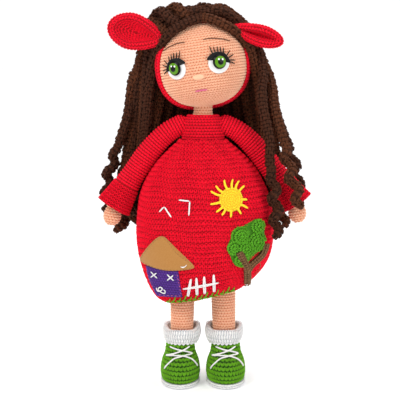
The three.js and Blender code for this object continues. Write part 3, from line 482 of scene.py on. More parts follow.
# Distances on the disc of a safety eye, as shares of its radius, and the places of its two glints: painted highlights,
# white spots that stand for the lamps' reflections
eyeDisc = {"pupil": 0.42, "rim": 0.8, "paintedGlints": [(-0.22, 0.4), (0.34, 0.32)], "paintedGlintRadius": 0.12,
           "iris": ("2C5C04", "6CA61A"), "black": "020202",
           "surface": {"Roughness": 0.16, "Specular IOR Level": 0.22}}


# How much of a spot of one radius, softened at its edge, covers a place on the disc
def makeSpotMask():
    group, given, result = newGroup(
        "spot_mask",
        [("Place", "NodeSocketVector", (0, 0, 0)), ("Middle", "NodeSocketVector", (0, 0, 0)),
         ("Radius", "NodeSocketFloat", 0.5), ("Edge", "NodeSocketFloat", 0.04)],
        [("Mask", "NodeSocketFloat")],
    )
    gap = group.nodes.new("ShaderNodeVectorMath")
    gap.operation = "DISTANCE"
    group.links.new(given.outputs[0], gap.inputs[0])
    group.links.new(given.outputs[1], gap.inputs[1])
    inside = mathNode(group, "SUBTRACT", given.outputs[2], gap.outputs["Value"])
    mask = group.nodes.new("ShaderNodeClamp")
    group.links.new(mathNode(group, "ADD", mathNode(group, "DIVIDE", inside, given.outputs[3]), 0.5), mask.inputs[0])
    group.links.new(mask.outputs[0], result.inputs[0])
    return group


spotMask = makeSpotMask()


def eyeMaterial():
    material, tree, shader = newMaterial("green_eye_look", eyeDisc["surface"])
    black = paint(eyeDisc["black"])
    disc = tree.nodes.new("ShaderNodeUVMap")
    disc.uv_map = "disc"
    parts = tree.nodes.new("ShaderNodeSeparateXYZ")
    tree.links.new(disc.outputs[0], parts.inputs[0])
    turn = mathNode(tree, "ARCTAN2", parts.outputs[1], parts.outputs[0])
    ray = tree.nodes.new("ShaderNodeCombineXYZ")
    tree.links.new(mathNode(tree, "MULTIPLY", turn, 3), ray.inputs[0])
    iris = mixNode(tree, noiseNode(tree, 3.2, 3, ray.outputs[0]), *map(paint, eyeDisc["iris"]))

    def spot(middle, radius, edge):
        node = addGroup(tree, spotMask, Middle=(*middle, 0), Radius=radius, Edge=edge)
        tree.links.new(disc.outputs[0], node.inputs["Place"])
        return node.outputs[0]

    color = mixNode(tree, spot((0, 0), eyeDisc["rim"], 0.05), black, iris)
    color = mixNode(tree, spot((0, 0), eyeDisc["pupil"], 0.06), color, black)
    # White spots painted on the disc stand for the lamps' reflections: painted highlights
    for middle in eyeDisc["paintedGlints"]:
        color = mixNode(tree, spot(middle, eyeDisc["paintedGlintRadius"], 0.08), color, (1, 1, 1, 1))
    tree.links.new(color, shader.inputs["Base Color"])
    return material


def plasticMaterial():
    material, tree, shader = newMaterial("washer_plastic_look", {"Roughness": 0.42})
    tree.links.new(mixNode(tree, noiseNode(tree, 300), paint("E4E4E0"), paint("EEEEEA")), shader.inputs["Base Color"])
    return material


print("materials made")

# Rings of points round a path; flatten makes their section an oval
def ringsAlong(path, radiusAt, sides, start=None, twist=0.0, flatten=1.0):
    path = np.asarray(path, float)
    tangents = np.gradient(path, axis=0)
    tangents /= np.linalg.norm(tangents, axis=1)[:, None]
    side = np.array(start if start is not None else (0.0, 1.0, 0.0))
    rings = []
    for index, (point, along) in enumerate(zip(path, tangents)):
        side = side - along * side.dot(along)
        side /= np.linalg.norm(side)
        up = np.cross(along, side)
        radius = radiusAt(index / (len(path) - 1))
        turn = np.arange(sides) / sides * math.tau + twist * index
        rings.append(point + radius * (np.cos(turn)[:, None] * side * flatten + np.sin(turn)[:, None] * up))
    return np.array(rings)


def bandFaces(ringCount, sides, looped=False, start=0):
    faces = []
    for band in range(ringCount if looped else ringCount - 1):
        nextBand = (band + 1) % ringCount
        for side in range(sides):
            beside = (side + 1) % sides
            faces.append((start + band * sides + side, start + band * sides + beside,
                          start + nextBand * sides + beside, start + nextBand * sides + side))
    return faces


def volumeOf(verts, faces):
    return sum(verts[f[0]].dot(np.cross(verts[f[i]], verts[f[i + 1]])) for f in faces for i in range(1, len(f) - 1))


# A closed skin; its rings run from one end to the other, or round and back where it is a shell. By default it takes the
# yarn's painted shade colour in full, as the under layers between stitches do
def skin(name, rings, shell=False, toneAndShade=0.0):
    sides = len(rings[0])
    verts = np.concatenate([*rings])
    faces = bandFaces(len(rings), sides, looped=shell)
    if not shell:
        first, last = len(verts), len(verts) + 1
        verts = np.concatenate([verts, [np.mean(rings[0], axis=0), np.mean(rings[-1], axis=0)]])
        lastRing = (len(rings) - 1) * sides
        for side in range(sides):
            beside = (side + 1) % sides
            faces += [(first, beside, side), (last, lastRing + side, lastRing + beside)]
    middle = verts.mean(0)
    if volumeOf(verts - middle, faces) < 0:
        faces = [f[::-1] for f in faces]
    return newObject(name, verts, faces, toneAndShade=toneAndShade)


# Strands of yarn as closed tubes in one mesh; turns is how often the plies go round a strand
def strandsMesh(name, strands, toneAndShade=None):
    verts, faces, uvs = [], [], []
    for strand in strands:
        points = np.asarray(strand["points"], float)
        radii = strand["radii"]
        sides = strand.get("sides", 4)
        rings = ringsAlong(points, lambda t: 1.0, sides, strand.get("front"), 0.0, strand.get("flatten", 1.0))
        rings = points[:, None, :] + (rings - points[:, None, :]) * np.asarray(radii)[:, None, None]
        start = len(verts)
        inner = rings[1:-1]
        turns = strand.get("turns", 1)
        for index, ring in enumerate(inner):
            for side, point in enumerate(ring):
                verts.append(point)
                uvs.append(((index + 1) / (len(points) - 1) * turns, side / sides))
        faces += bandFaces(len(inner), sides, start=start)
        first, last = len(verts), len(verts) + 1
        verts += [points[0], points[-1]]
        uvs += [(0, 0.5), (turns, 0.5)]
        lastRing = start + (len(inner) - 1) * sides
        for side in range(sides):
            beside = (side + 1) % sides
            faces += [(first, start + beside, start + side), (last, lastRing + side, lastRing + beside)]
    verts = np.array(verts)
    return newObject(name, verts, faces, uvs=uvs, toneAndShade=toneAndShade)


# A loop of a stitch: an arched strand, thin at its ends
def leaf(start, end, thickness, depth, rise, rings=2):
    shares = np.linspace(0, 1, rings + 2)
    start, end = np.array(start, float), np.array(end, float)
    points = [start + (end - start) * t + np.array([0, 0, rise]) * math.sin(math.pi * t) for t in shares]
    radii = [thickness * math.sin(math.pi * (0.5 / (rings + 1) + t * rings / (rings + 1))) for t in shares]
    return {"points": points, "radii": radii, "front": (0, 0, 1), "flatten": depth / thickness}


# One stitch of each kind fills a box one wide and one high, facing out along Z
def makeStitches():
    shapes = {
        "single": [
            leaf((-0.03, -0.56, -0.1), (-0.4, 0.52, -0.1), 0.27, 0.45, 0.3),
            leaf((0.03, -0.56, -0.1), (0.4, 0.52, -0.1), 0.27, 0.45, 0.3),
        ],
        "rope": [
            leaf((-0.04, -0.66, -0.1), (-0.46, 0.6, -0.2), 0.36, 0.5, 0.4),
            leaf((0.04, -0.66, -0.1), (0.46, 0.6, -0.2), 0.36, 0.5, 0.4),
        ],
        "double": [
            leaf((-0.1, -0.55, -0.15), (-0.42, 0.5, -0.05), 0.24, 0.5, 0.3),
            leaf((0.08, -0.5, -0.05), (0.44, 0.52, -0.15), 0.22, 0.5, 0.3),
            leaf((-0.5, 0.42, -0.05), (0.42, 0.5, -0.05), 0.11, 0.45, 0.35),
        ],
        "ridge": [leaf((-0.62, 0, 0), (0.62, 0, 0), 0.34, 0.5, 0.1)],
        "bar": [leaf((-0.74, 0.04, -0.16), (0.74, -0.04, -0.16), 0.46, 0.55, 0.25)],
        "rib": [leaf((0, -0.62, -0.2), (0, 0.62, -0.2), 0.42, 0.6, 0.4, rings=3)],
    }
    return {name: strandsMesh("stitch_" + name, parts) for name, parts in shapes.items()}


stitchShapes = makeStitches()


# The knitter sets one stitch on each point, turned to its facing and its rise, over an under layer
def makeKnitter():
    tree = bpy.data.node_groups.new("knitter", "GeometryNodeTree")
    sockets = [
        ("Points", "NodeSocketGeometry", None), ("Stitch", "NodeSocketObject", None),
        ("Under", "NodeSocketObject", None), ("Wobble", "NodeSocketFloat", 0.08),
        ("Size Change", "NodeSocketFloat", 0.06), ("Seed", "NodeSocketInt", 1), ("Yarn", "NodeSocketMaterial", None),
    ]
    for label, kind, value in sockets:
        socket = tree.interface.new_socket(label, in_out="INPUT", socket_type=kind)
        if value is not None:
            socket.default_value = value
    tree.interface.new_socket("Work", in_out="OUTPUT", socket_type="NodeSocketGeometry")
    nodes, link = tree.nodes, tree.links.new
    given = nodes.new("NodeGroupInput")
    result = nodes.new("NodeGroupOutput")

    def add(kind, links, output=0, **settings):
        node = nodes.new(kind)
        for label, value in settings.items():
            setattr(node, label, value)
        for label, source in links.items():
            link(source, node.inputs[label])
        return node.outputs[output]

    def attribute(name):
        node = nodes.new("GeometryNodeInputNamedAttribute")
        node.data_type = "FLOAT_VECTOR"
        node.inputs["Name"].default_value = name
        return node.outputs[0]

    def aligned(links, axis, pivot):
        return add("FunctionNodeAlignRotationToVector", links, axis=axis, pivot_axis=pivot)

    def scaled(vector, amount):
        return add("ShaderNodeVectorMath", {0: vector, "Scale": given.outputs[amount]}, operation="SCALE")

    stitch = add("GeometryNodeObjectInfo", {"Object": given.outputs["Stitch"]}, "Geometry")
    under = add("GeometryNodeObjectInfo", {"Object": given.outputs["Under"]}, "Geometry")
    faced = aligned({"Vector": attribute("facing")}, "Z", "AUTO")
    turned = aligned({"Rotation": faced, "Vector": attribute("rise")}, "Y", "Z")
    sway = nodes.new("FunctionNodeRandomValue")
    sway.data_type = "FLOAT_VECTOR"
    sway.inputs["Min"].default_value = (-1, -1, -1)
    sway.inputs["Max"].default_value = (1, 1, 1)
    link(given.outputs["Seed"], sway.inputs["Seed"])
    sway = sway.outputs[0]
    lean = add("FunctionNodeEulerToRotation", {0: scaled(sway, "Wobble")})
    leaned = add("FunctionNodeRotateRotation", {"Rotation": turned, "Rotate By": lean}, rotation_space="LOCAL")
    size = attribute("size")
    grown = add("ShaderNodeVectorMath", {0: scaled(sway, "Size Change"), 1: size, 2: size}, operation="MULTIPLY_ADD")
    placed = add("GeometryNodeInstanceOnPoints",
                 {"Points": given.outputs["Points"], "Instance": stitch, "Rotation": leaned, "Scale": grown})
    joined = nodes.new("GeometryNodeJoinGeometry")
    link(under, joined.inputs[0])
    link(add("GeometryNodeRealizeInstances", {0: placed}), joined.inputs[0])
    link(add("GeometryNodeSetMaterial", {"Geometry": joined.outputs[0], "Material": given.outputs["Yarn"]}),
         result.inputs[0])
    return tree


knitter = makeKnitter()
knitterSockets = {
    item.name: item.identifier for item in knitter.interface.items_tree if item.in_out == "INPUT"
}
leftovers = list(stitchShapes.values())


def knit(name, stitches, shape, yarn, under=None, wobble=0.06, sizeChange=0.05, seed=3):
    mesh = bpy.data.meshes.new(name)
    mesh.from_pydata([tuple(p) for p in stitches["at"]], [], [])
    for label in ("facing", "rise", "size"):
        mesh.attributes.new(label, "FLOAT_VECTOR", "POINT").data.foreach_set("vector", stitches[label].ravel())
    mesh.attributes.new("toneAndShade", "FLOAT", "POINT").data.foreach_set("value", stitches["toneAndShade"])
    made = bpy.data.objects.new(name, mesh)
    scene.collection.objects.link(made)
    modifier = made.modifiers.new("knitter", "NODES")
    modifier.node_group = knitter
    values = {"Stitch": stitchShapes[shape], "Under": under, "Wobble": wobble, "Size Change": sizeChange,
              "Seed": seed, "Yarn": yarnLooks[yarn]}
    for label, value in values.items():
        if value is not None:
            modifier[knitterSockets[label]] = value
    graph = bpy.context.evaluated_depsgraph_get()
    plain = bpy.data.meshes.new_from_object(made.evaluated_get(graph), depsgraph=graph)
    made.modifiers.remove(modifier)
    made.data = plain
    bpy.data.meshes.remove(mesh)
    for label in ("facing", "rise", "size"):
        if label in plain.attributes:
            plain.attributes.remove(plain.attributes[label])
    if under is not None:
        leftovers.append(under)
    return made


# Rows of stitches over a grid of rings

dice = np.random.default_rng(11)


def gathered(parts):
    parts = [p for p in parts if len(p["at"])]
    return {label: np.concatenate([p[label] for p in parts]) for label in parts[0]}


def unit(vectors):
    return vectors / (np.linalg.norm(vectors, axis=-1)[..., None] + 1e-12)


def circle(sides):
    return np.arange(sides) / sides * math.tau


# How far along a path each of its points lies, and its values at other distances
def runOf(path):
    return np.concatenate([[0], np.cumsum(np.linalg.norm(np.diff(path, axis=0), axis=1))])


def valuesAt(places, run, values):
    return np.array([np.interp(places, run, column) for column in values.T]).T


def cutRows(grid, step, first=0.5):
    gaps = np.linalg.norm(np.diff(grid, axis=0), axis=2).mean(1)
    run = np.concatenate([[0], np.cumsum(gaps)])
    count = max(1, round(run[-1] / step))
    places = (np.arange(count) + first) * run[-1] / count
    rows, rising = [valuesAt(places, run, values.reshape(len(values), -1)).reshape(-1, *values.shape[1:])
                    for values in (grid, np.gradient(grid, run, axis=0))]
    return rows, rising, run[-1] / count


def randomTone(count):
    return 0.82 + 0.18 * dice.random(count)


# size is (width, height, depth) of a stitch in millimetres; keep drops stitches that never show
def stitchRows(grid, size, keep=None, brick=0.5, lift=0.0, inward=False, first=0.5):
    width, height, depth = (value * mm for value in size)
    rows, rising, step = cutRows(np.asarray(grid), height, first)
    parts = []
    for index, (ring, rise) in enumerate(zip(rows, rising)):
        closed = np.vstack([ring, ring[:1]])
        run = runOf(closed)
        length = run[-1]
        count = max(4, round(length / width))
        places = ((np.arange(count) + brick * (index % 2)) / count * length) % length
        ahead, behind = (valuesAt((places + gap) % length, run, closed) for gap in (length / 200, -length / 200))
        at = valuesAt(places, run, closed)
        up = valuesAt(places, run, np.vstack([rise, rise[:1]]))
        facing = unit(np.cross(ahead - behind, up))
        outward = (facing * (at - ring.mean(0))).sum()
        if (outward < 0) != inward:
            facing = -facing
        parts.append({
            "at": at + facing * lift * mm, "facing": facing, "rise": unit(up),
            "size": np.tile([length / count, step, depth], (count, 1)), "toneAndShade": randomTone(count),
        })
    made = gathered(parts)
    if keep is not None:
        kept = np.array([keep(Vector(p)) for p in made["at"]])
        made = {label: values[kept] for label, values in made.items()}
    return made


# The grid moved inwards by a depth in millimetres
def inset(grid, depth):
    grid = np.asarray(grid)
    along = np.roll(grid, -1, axis=1) - np.roll(grid, 1, axis=1)
    facing = unit(np.cross(along, np.gradient(grid, axis=0)))
    signs = np.sign((facing * (grid - grid.mean(1)[:, None, :])).sum(2).sum(1))
    return grid - facing * signs[:, None, None] * depth * mm


# Sharp turns between the rings of a grid are rounded off
def softened(grid, times=2):
    grid = np.array(grid)
    for _ in range(times):
        grid[1:-1] = (grid[:-2] + 2 * grid[1:-1] + grid[2:]) / 4
    return grid


# Pictures and threads lie on a smooth ground: flat places (x, z) are carried back onto it from the front
def projector(grid, space):
    verts = np.asarray(grid).reshape(-1, 3)
    tree = BVHTree.FromPolygons([Vector(v) for v in verts], bandFaces(len(grid), len(grid[0])))
    forward = (space.to_3x3() @ Vector((0, 1, 0))).normalized()

    def project(points, lift):
        made = []
        for x, z in np.asarray(points, float):
            hit, normal = tree.ray_cast(space @ Vector((x, -150, z)), forward)[:2]
            if hit is None:
                hit, normal = tree.find_nearest(space @ Vector((x, -20, z)))[:2]
            if normal.dot(forward) > 0:
                normal = -normal
            made.append(hit + normal * lift * mm)
        return np.array(made)

    return project


# How far points lie inside an outline; those outside it get a distance below zero
def depthInside(points, outline):
    points, outline = np.asarray(points, float), np.asarray(outline, float)
    ends = np.roll(outline, -1, axis=0)
    sides = ends - outline
    gaps = points[:, None, :] - outline[None]
    share = np.clip((gaps * sides).sum(2) / ((sides ** 2).sum(1) + 1e-12), 0, 1)
    near = np.linalg.norm(gaps - share[:, :, None] * sides, axis=2).min(1)
    x, z = points[:, 0, None], points[:, 1, None]
    crosses = (outline[:, 1] > z) != (ends[:, 1] > z)
    slope = sides[:, 0] / np.where(np.abs(sides[:, 1]) < 1e-12, 1e-12, sides[:, 1])
    inside = (crosses & (x < outline[:, 0] + (z - outline[:, 1]) * slope)).sum(1) % 2 == 1
    return np.where(inside, near, -near)


# A smooth outline through points; two of them are added at each end, and cut off again
def closedLine(points, step):
    points = np.asarray(points, float)
    line = smoothLine(np.vstack([points[-2:], points, points[:2]]))[24:24 + 12 * len(points) + 1]
    return evenly(line, step)[:-1]


def gridOver(outline, width, height, brick=0.0):
    low, high = outline.min(0), outline.max(0)
    return np.array([(x + width * brick * (row % 2), z)
                     for row, z in enumerate(np.arange(low[1] + height / 2, high[1], height))
                     for x in np.arange(low[0] + width / 2, high[0] + width / 2, width)])


# A flat piece with a rounded edge, laid on the ground between two heights over it
def patch(name, outline, project, low, high, soft=0.7, spacing=1.3):
    places = gridOver(outline, spacing, spacing)
    places = places[depthInside(places, outline) > soft * 1.3]
    along = np.roll(outline, -1, axis=0) - np.roll(outline, 1, axis=0)
    inward = np.stack([-along[:, 1], along[:, 0]], axis=1) / np.linalg.norm(along, axis=1)[:, None]
    rim = np.vstack([outline + inward * sign * soft * share for share in (0.35, 1) for sign in (1, -1)])
    rim = rim[depthInside(rim, outline) > soft * 0.25]
    flat = [Vector(p) for p in np.vstack([outline, rim, places])]
    verts, _, faces = delaunay_2d_cdt(flat, [], [list(range(len(outline)))], 1, 1e-4, True)[:3]
    verts = np.array([tuple(v) for v in verts])
    bend = 1 - np.clip(np.abs(depthInside(verts, outline)) / soft, 0, 1)
    heights = low + (high - low) * (0.35 + 0.65 * np.sqrt(np.clip(1 - bend ** 2, 0, 1)))
    base = project(verts, 0)
    ways = project(verts, 1) - base
    count = len(verts)
    points = np.concatenate([base + ways * heights[:, None], base + ways * low])
    faces = [tuple(f) for f in faces]
    normal = np.cross(points[faces[0][1]] - points[faces[0][0]], points[faces[0][2]] - points[faces[0][0]])
    if normal.dot(ways[faces[0][0]]) < 0:
        faces = [f[::-1] for f in faces]
    used = {(f[i], f[(i + 1) % len(f)]) for f in faces for i in range(len(f))}
    walls = [(b, a, a + count, b + count) for a, b in used if (b, a) not in used]
    backs = [tuple(v + count for v in f[::-1]) for f in faces]
    return newObject(name, points, faces + backs + walls, toneAndShade=0.3)


# Stitches on flat places; turn is the way they run, in radians from upright
def stitchesAt(points, project, size, lift, turn=0.0):
    points = np.asarray(points, float)
    c, s = math.cos(turn), math.sin(turn)
    right, rise = (project(points + np.array(way) * 0.4, lift) - project(points - np.array(way) * 0.4, lift)
                   for way in ((c, -s), (s, c)))
    count = len(points)
    return {"at": project(points, lift), "facing": unit(np.cross(right, rise)), "rise": unit(rise),
            "size": np.tile(np.array(size) * mm, (count, 1)), "toneAndShade": randomTone(count)}


# A stitched patch: a felted under layer with rows of stitches up to its edge
def stitchedPatch(name, outline, project, size, yarn, low, high, edge=0.9):
    under = patch(name + "_under", outline, project, low, high)
    places = gridOver(outline, size[0], size[1], 0.5)
    places = places[depthInside(places, outline) > edge]
    return knit(name, stitchesAt(places, project, size, high), "single", yarn, under)


# One strand of yarn on the ground through flat places, tapered where it goes in at each end
def strandOn(points, project, radius, lift, taper=0.55, flatten=1.0, sides=8, step=0.8):
    line = smoothLine(points, step) if len(points) > 2 else evenly(points, step)
    path = project(line, lift)
    count = len(path)
    ends = np.minimum(np.arange(count), np.arange(count)[::-1])
    radii = radius * mm * np.clip(taper + 0.3 * ends, 0, 1)
    length = np.linalg.norm(np.diff(path, axis=0), axis=1).sum()
    return {"points": path, "radii": radii, "sides": sides, "front": (0, -1, 0), "flatten": flatten,
            "turns": length / (radius * mm * 5)}


def threads(name, strands, yarn, toneAndShade=0.9):
    return withLook(strandsMesh(name, strands, toneAndShade), yarnLooks[yarn])


# Paths: a smooth line through points, and the same line cut at even steps
def evenly(path, step):
    path = np.asarray(path, float)
    run = runOf(path)
    count = max(2, round(run[-1] / step))
    return valuesAt(np.linspace(0, run[-1], count + 1), run, path)


def smoothLine(points, step=None, pieces=12):
    points = np.asarray(points, float)
    knots = np.vstack([2 * points[0] - points[1], points, 2 * points[-1] - points[-2]])
    line = []
    for a, b, c, d in zip(knots, knots[1:], knots[2:], knots[3:]):
        gaps = [max(1e-9, np.linalg.norm(q - p)) ** 0.5 for p, q in ((a, b), (b, c), (c, d))]
        ta, tb, tc, td = np.concatenate([[0], np.cumsum(gaps)])
        t = np.linspace(tb, tc, pieces, endpoint=False)[:, None]
        ab = ((tb - t) * a + (t - ta) * b) / (tb - ta)
        bc = ((tc - t) * b + (t - tb) * c) / (tc - tb)
        cd = ((td - t) * c + (t - tc) * d) / (td - tc)
        abc = ((tc - t) * ab + (t - ta) * bc) / (tc - ta)
        bcd = ((td - t) * bc + (t - tb) * cd) / (td - tb)
        line.append(((tc - t) * abc + (t - tb) * bcd) / (tc - tb))
    line = np.vstack([*line, points[-1:]])
    return line if step is None else evenly(line, step)


# The head: a ball with a fuller jaw, rolled to one side; the face is turned inside it

head = {"radius": 43, "center": (-1, 0, 323), "depthShare": 0.96, "roll": math.radians(-8.5),
        "yaw": math.radians(-7.8), "jawPower": 2.45}
headSpace = Matrix.Translation(place(*head["center"])) @ Matrix.Rotation(head["roll"], 4, "Y") @ Matrix.Scale(mm, 4)
faceSpace = headSpace @ Matrix.Rotation(head["yaw"], 4, "Z")
fromHead = headSpace.inverted()


def moved(space, points):
    shape = np.shape(points)
    flat = np.asarray(points, float).reshape(-1, 3)
    turned = flat @ np.array(space.to_3x3()).T + np.array(space.translation)
    return turned.reshape(shape)


def headReach(ways, offset):
    ways = np.asarray(ways, float)
    across = np.hypot(ways[..., 0], ways[..., 1] / head["depthShare"])
    up = np.abs(ways[..., 2])
    power = head["jawPower"]
    lower = (across ** power + up ** power) ** (1 / power)
    upper = np.hypot(across, up)
    return (head["radius"] + offset) / np.where(ways[..., 2] < 0, lower, upper)


def headGrid(offset, steps=64, sides=96):
    up = np.radians(np.linspace(-89, 89, steps))[:, None]
    turn = circle(sides)[None, :]
    ways = np.stack([np.cos(up) * np.cos(turn), np.cos(up) * np.sin(turn), np.sin(up) + 0 * turn], axis=-1)
    return moved(headSpace, ways * headReach(ways, offset)[..., None])


def placeAll(points):
    return np.asarray(points, float) * mm + np.array([bodyMiddle, 0, 0])


# Millimetres from a middle line that stands on the ground
def uprightSpace(x):
    return Matrix.Translation(place(x, 0, 0)) @ Matrix.Scale(mm, 4)


# Hair: long crocheted locks, laid over the crown and hanging in corkscrews

hair = {"thickness": 9.3, "crown": 50.75, "upper": 57.15, "curlRadius": 3.4, "curlPitch": 20, "row": 11.5,
        "stitch": (4.3, 3.7, 1.9), "knotRise": 4}
hangLevels = [(300, 54, 54), (252, 62, 57), (205, 71, 66), (150, 74, 71)]
lockEnds = {
    1: [160, 152, 168, 158, 150, 164, 155],
    -1: [157, 166, 150, 161, 155, 152, 163],
}


def headWay(side, up, turn):
    up, turn = math.radians(up), math.radians(turn)
    return np.array([side * math.cos(up) * math.cos(turn), math.cos(up) * math.sin(turn), math.sin(up)])


def onCrown(way, radius):
    x, y, z = way * (1, head["depthShare"], 1) * radius
    roll = head["roll"]
    turned = (x * math.cos(roll) + z * math.sin(roll), y, z * math.cos(roll) - x * math.sin(roll))
    return np.array(turned) + head["center"]


# A smooth line down a route, with this many turns of a corkscrew at its end
def lockLine(route, curls):
    line = smoothLine(route, 1.0)
    run = np.arange(len(line)) * 1.0
    curled = run[-1] - curls * hair["curlPitch"]
    growth = np.clip((run - curled) / hair["curlPitch"] + 0.1, 0, 1) * (run > curled)
    swing = hair["curlRadius"] * growth
    turn = line[:, 2] / hair["curlPitch"] * math.tau
    line[:, 0] += swing * np.cos(turn)
    line[:, 1] += swing * np.sin(turn)
    return evenly(line, 1.0)


def hangingRoute(side, index, end, row=None):
    turn = math.radians(24 + 9 * index)
    row = hair["row"] * (index % 2) if row is None else row
    route = []
    for level, (height, width, depth) in enumerate(hangLevels):
        height = end if level == len(hangLevels) - 1 else height
        route.append((side * (width + row) * math.cos(turn), (depth + row) * math.sin(turn), height))
    return route


def crownTail(side, index, radius, knot, end, curls, row=None):
    rise = math.radians(63 + 10.8 * index)
    root = np.array([0, -math.cos(rise), math.sin(rise)])
    level = headWay(side, 0, 13 + 10.8 * index)
    over = [root + (level - root) * share for share in (0.3, 0.62, 1)]
    over = [onCrown(way / np.linalg.norm(way), radius) for way in over]
    return lockLine([onCrown(root, radius + knot), *over, *hangingRoute(side, index, end, row)], curls)


def hairRoutes():
    routes = {}
    for index in range(5):
        knot = hair["knotRise"] if index == 0 else 0
        tails = [crownTail(side, index, hair["crown"], knot, lockEnds[side][index], 3 if index < 3 else 2.5)
                 for side in (1, -1)]
        routes[f"crown_lock_{index + 1}"] = np.vstack([tails[0][::-1], tails[1][1:]])
    for name, side in (("left", 1), ("right", -1)):
        for step, (up, turn) in enumerate(((18, 69.5), (47, 80))):
            over = [onCrown(headWay(side, up * share, turn), hair["crown"]) for share in (1, 0.5, 0)]
            hang = hangingRoute(side, 5 + step, lockEnds[side][5 + step])
            routes[f"{name}_back_lock_{step + 1}"] = lockLine([*over, *hang], 2.5)
    over = [onCrown(headWay(1, 21 * share, 90), hair["crown"]) for share in (1, 0.5, 0)]
    routes["middle_back_lock"] = lockLine(
        [*over, *[(0, depth + hair["row"], height) for height, width, depth in hangLevels]], 2.5)
    outer = {
        "right_outer_lock": (-1, [(62, -40), (44, -4), (26, 12), (8, 18)], [
            (69, 20, 312), (73, 21, 292), (76, 22, 272), (83, 23, 248), (91, 25, 226), (97, 27, 203), (99, 29, 172)]),
        "right_inner_lock": (-1, [(40, 26), (22, 30), (6, 32)], [
            (65, 29, 305), (67, 28, 285), (70, 29, 262), (75, 30, 235), (81, 32, 205), (83, 34, 166)]),
        "left_front_lock": (1, [(46, 14), (28, 12), (8, 6)], [
            (59, -4, 312), (57, -13, 296), (58, -18, 280), (62, -22, 262), (65, -25, 245), (65, -26, 226),
            (68, -28, 205), (71, -30, 178), (71, -31, 152)]),
        "left_middle_lock": (1, [(42, 30), (24, 26), (8, 20)], [
            (65, 12, 312), (69, 2, 296), (70, -9, 284), (72, -17, 270), (77, -21, 252), (81, -24, 233),
            (85, -27, 214), (90, -29, 200), (94, -31, 181)]),
        "left_outer_lock": (1, [(36, 44), (18, 38), (4, 32)], [
            (64, 30, 312), (69, 26, 295), (72, 22, 280), (77, 21, 264), (83, 22, 248), (88, 23, 233),
            (93, 24, 218), (97, 27, 200), (97, 29, 178)]),
    }
    for name, (side, over, hang) in outer.items():
        start = [onCrown(headWay(side, up, turn), hair["upper"]) for up, turn in over]
        routes[name] = lockLine([*start, *[(side * x, y, z) for x, y, z in hang]], 3.5)
    return routes


lockRoutes = hairRoutes()
extraRoutes = {}
for side, name in ((1, "left"), (-1, "right")):
    for step, index in enumerate((0.5, 1.5, 2.5, 3.5)):
        end = 158 + 7 * ((step * 2 + (side > 0)) % 3)
        extraRoutes[f"{name}_fill_lock_{step + 1}"] = crownTail(
            side, index, hair["crown"] + 2, 0, end, 3, row=(4 if step % 2 else -5))
    for step, index in enumerate((4.5, 5.5)):
        over = [onCrown(headWay(side, up, 66 + 8 * step), hair["crown"] + 2) for up in (34, 17, 0)]
        extraRoutes[f"{name}_nape_lock_{step + 1}"] = lockLine(
            [*over, *hangingRoute(side, index, 152 + 8 * step, row=-4)], 2.5)

# Locks that stand up in loops or roll over the front of the crown: places from the middle of the head,
# then how far out and back each one hangs, and at what height it ends
frontLocks = {
    "right_loop_lock_1": ([(-9, -24, 41), (-18, -23, 46), (-23, -16, 52), (-29, -9, 52), (-35, -2, 46), (-43, 5, 35),
                           (-52, 10, 17)], 60, 8, 160),
    "right_loop_lock_2": ([(-22, -25, 37), (-31, -22, 41), (-37, -15, 48), (-43, -7, 48), (-49, 2, 40), (-54, 9, 24),
                           (-59, 12, 5)], 67, 12, 164),
    "right_loop_lock_3": ([(-33, -21, 28), (-41, -15, 33), (-48, -8, 39), (-53, 1, 36), (-57, 8, 24), (-61, 12, 8),
                           (-63, 12, -8)], 71, 16, 152),
    "left_roll_lock_1": ([(-5, -12, 45), (-4, -12, 51.5), (3, -14, 52.5), (10, -18, 49), (20, -19, 48), (30, -14, 42),
                          (40, -6, 32), (48, 2, 17)], 60, 6, 158),
    "left_roll_lock_2": ([(9, -15, 50), (18, -12, 52), (28, -7, 47), (38, -1, 39), (47, 6, 27), (54, 11, 10)],
                         65, 16, 168),
    "right_edge_lock": ([(3, -23, 42.5), (-8, -27, 40), (-20, -28, 34.5), (-31, -25, 27), (-39, -18, 18),
                         (-46, -8, 6)], 55, 2, 170),
    "left_edge_lock": ([(-3, -23, 43), (9, -27, 40.5), (21, -27, 35.5), (31, -22, 30), (40, -13, 22), (48, -4, 9)],
                       57, 4, 166),
    "right_side_lock_1": ([(-30, -10, 43), (-42, -4, 32), (-51, 2, 16)], 58, 4, 172),
    "right_side_lock_2": ([(-34, 4, 42), (-46, 8, 30), (-57, 11, 12)], 73, 14, 150),
    "left_side_lock_1": ([(30, -8, 43), (42, -2, 31), (51, 3, 15)], 59, 5, 162),
    "left_side_lock_2": ([(32, 6, 43), (45, 10, 31), (56, 12, 13)], 70, 14, 156),
}
for name, (over, out, back, end) in frontLocks.items():
    side = 1 if name.startswith("left") else -1
    centre = np.array(head["center"])
    # They pass behind the arms, with room for the sleeves to lift
    hang = [(side * out * share, back + behind, height) for share, height, behind in
            ((0.98, 296, 3), (1.02, 268, 15), (1.06, 235, 18), (1.13, 202, 17), (1.18, end, 14))]
    extraRoutes[name] = lockLine([*[np.array(p) + centre for p in over], *hang], 2.5)
print("hair laid out:", len(lockRoutes), "and", len(extraRoutes))


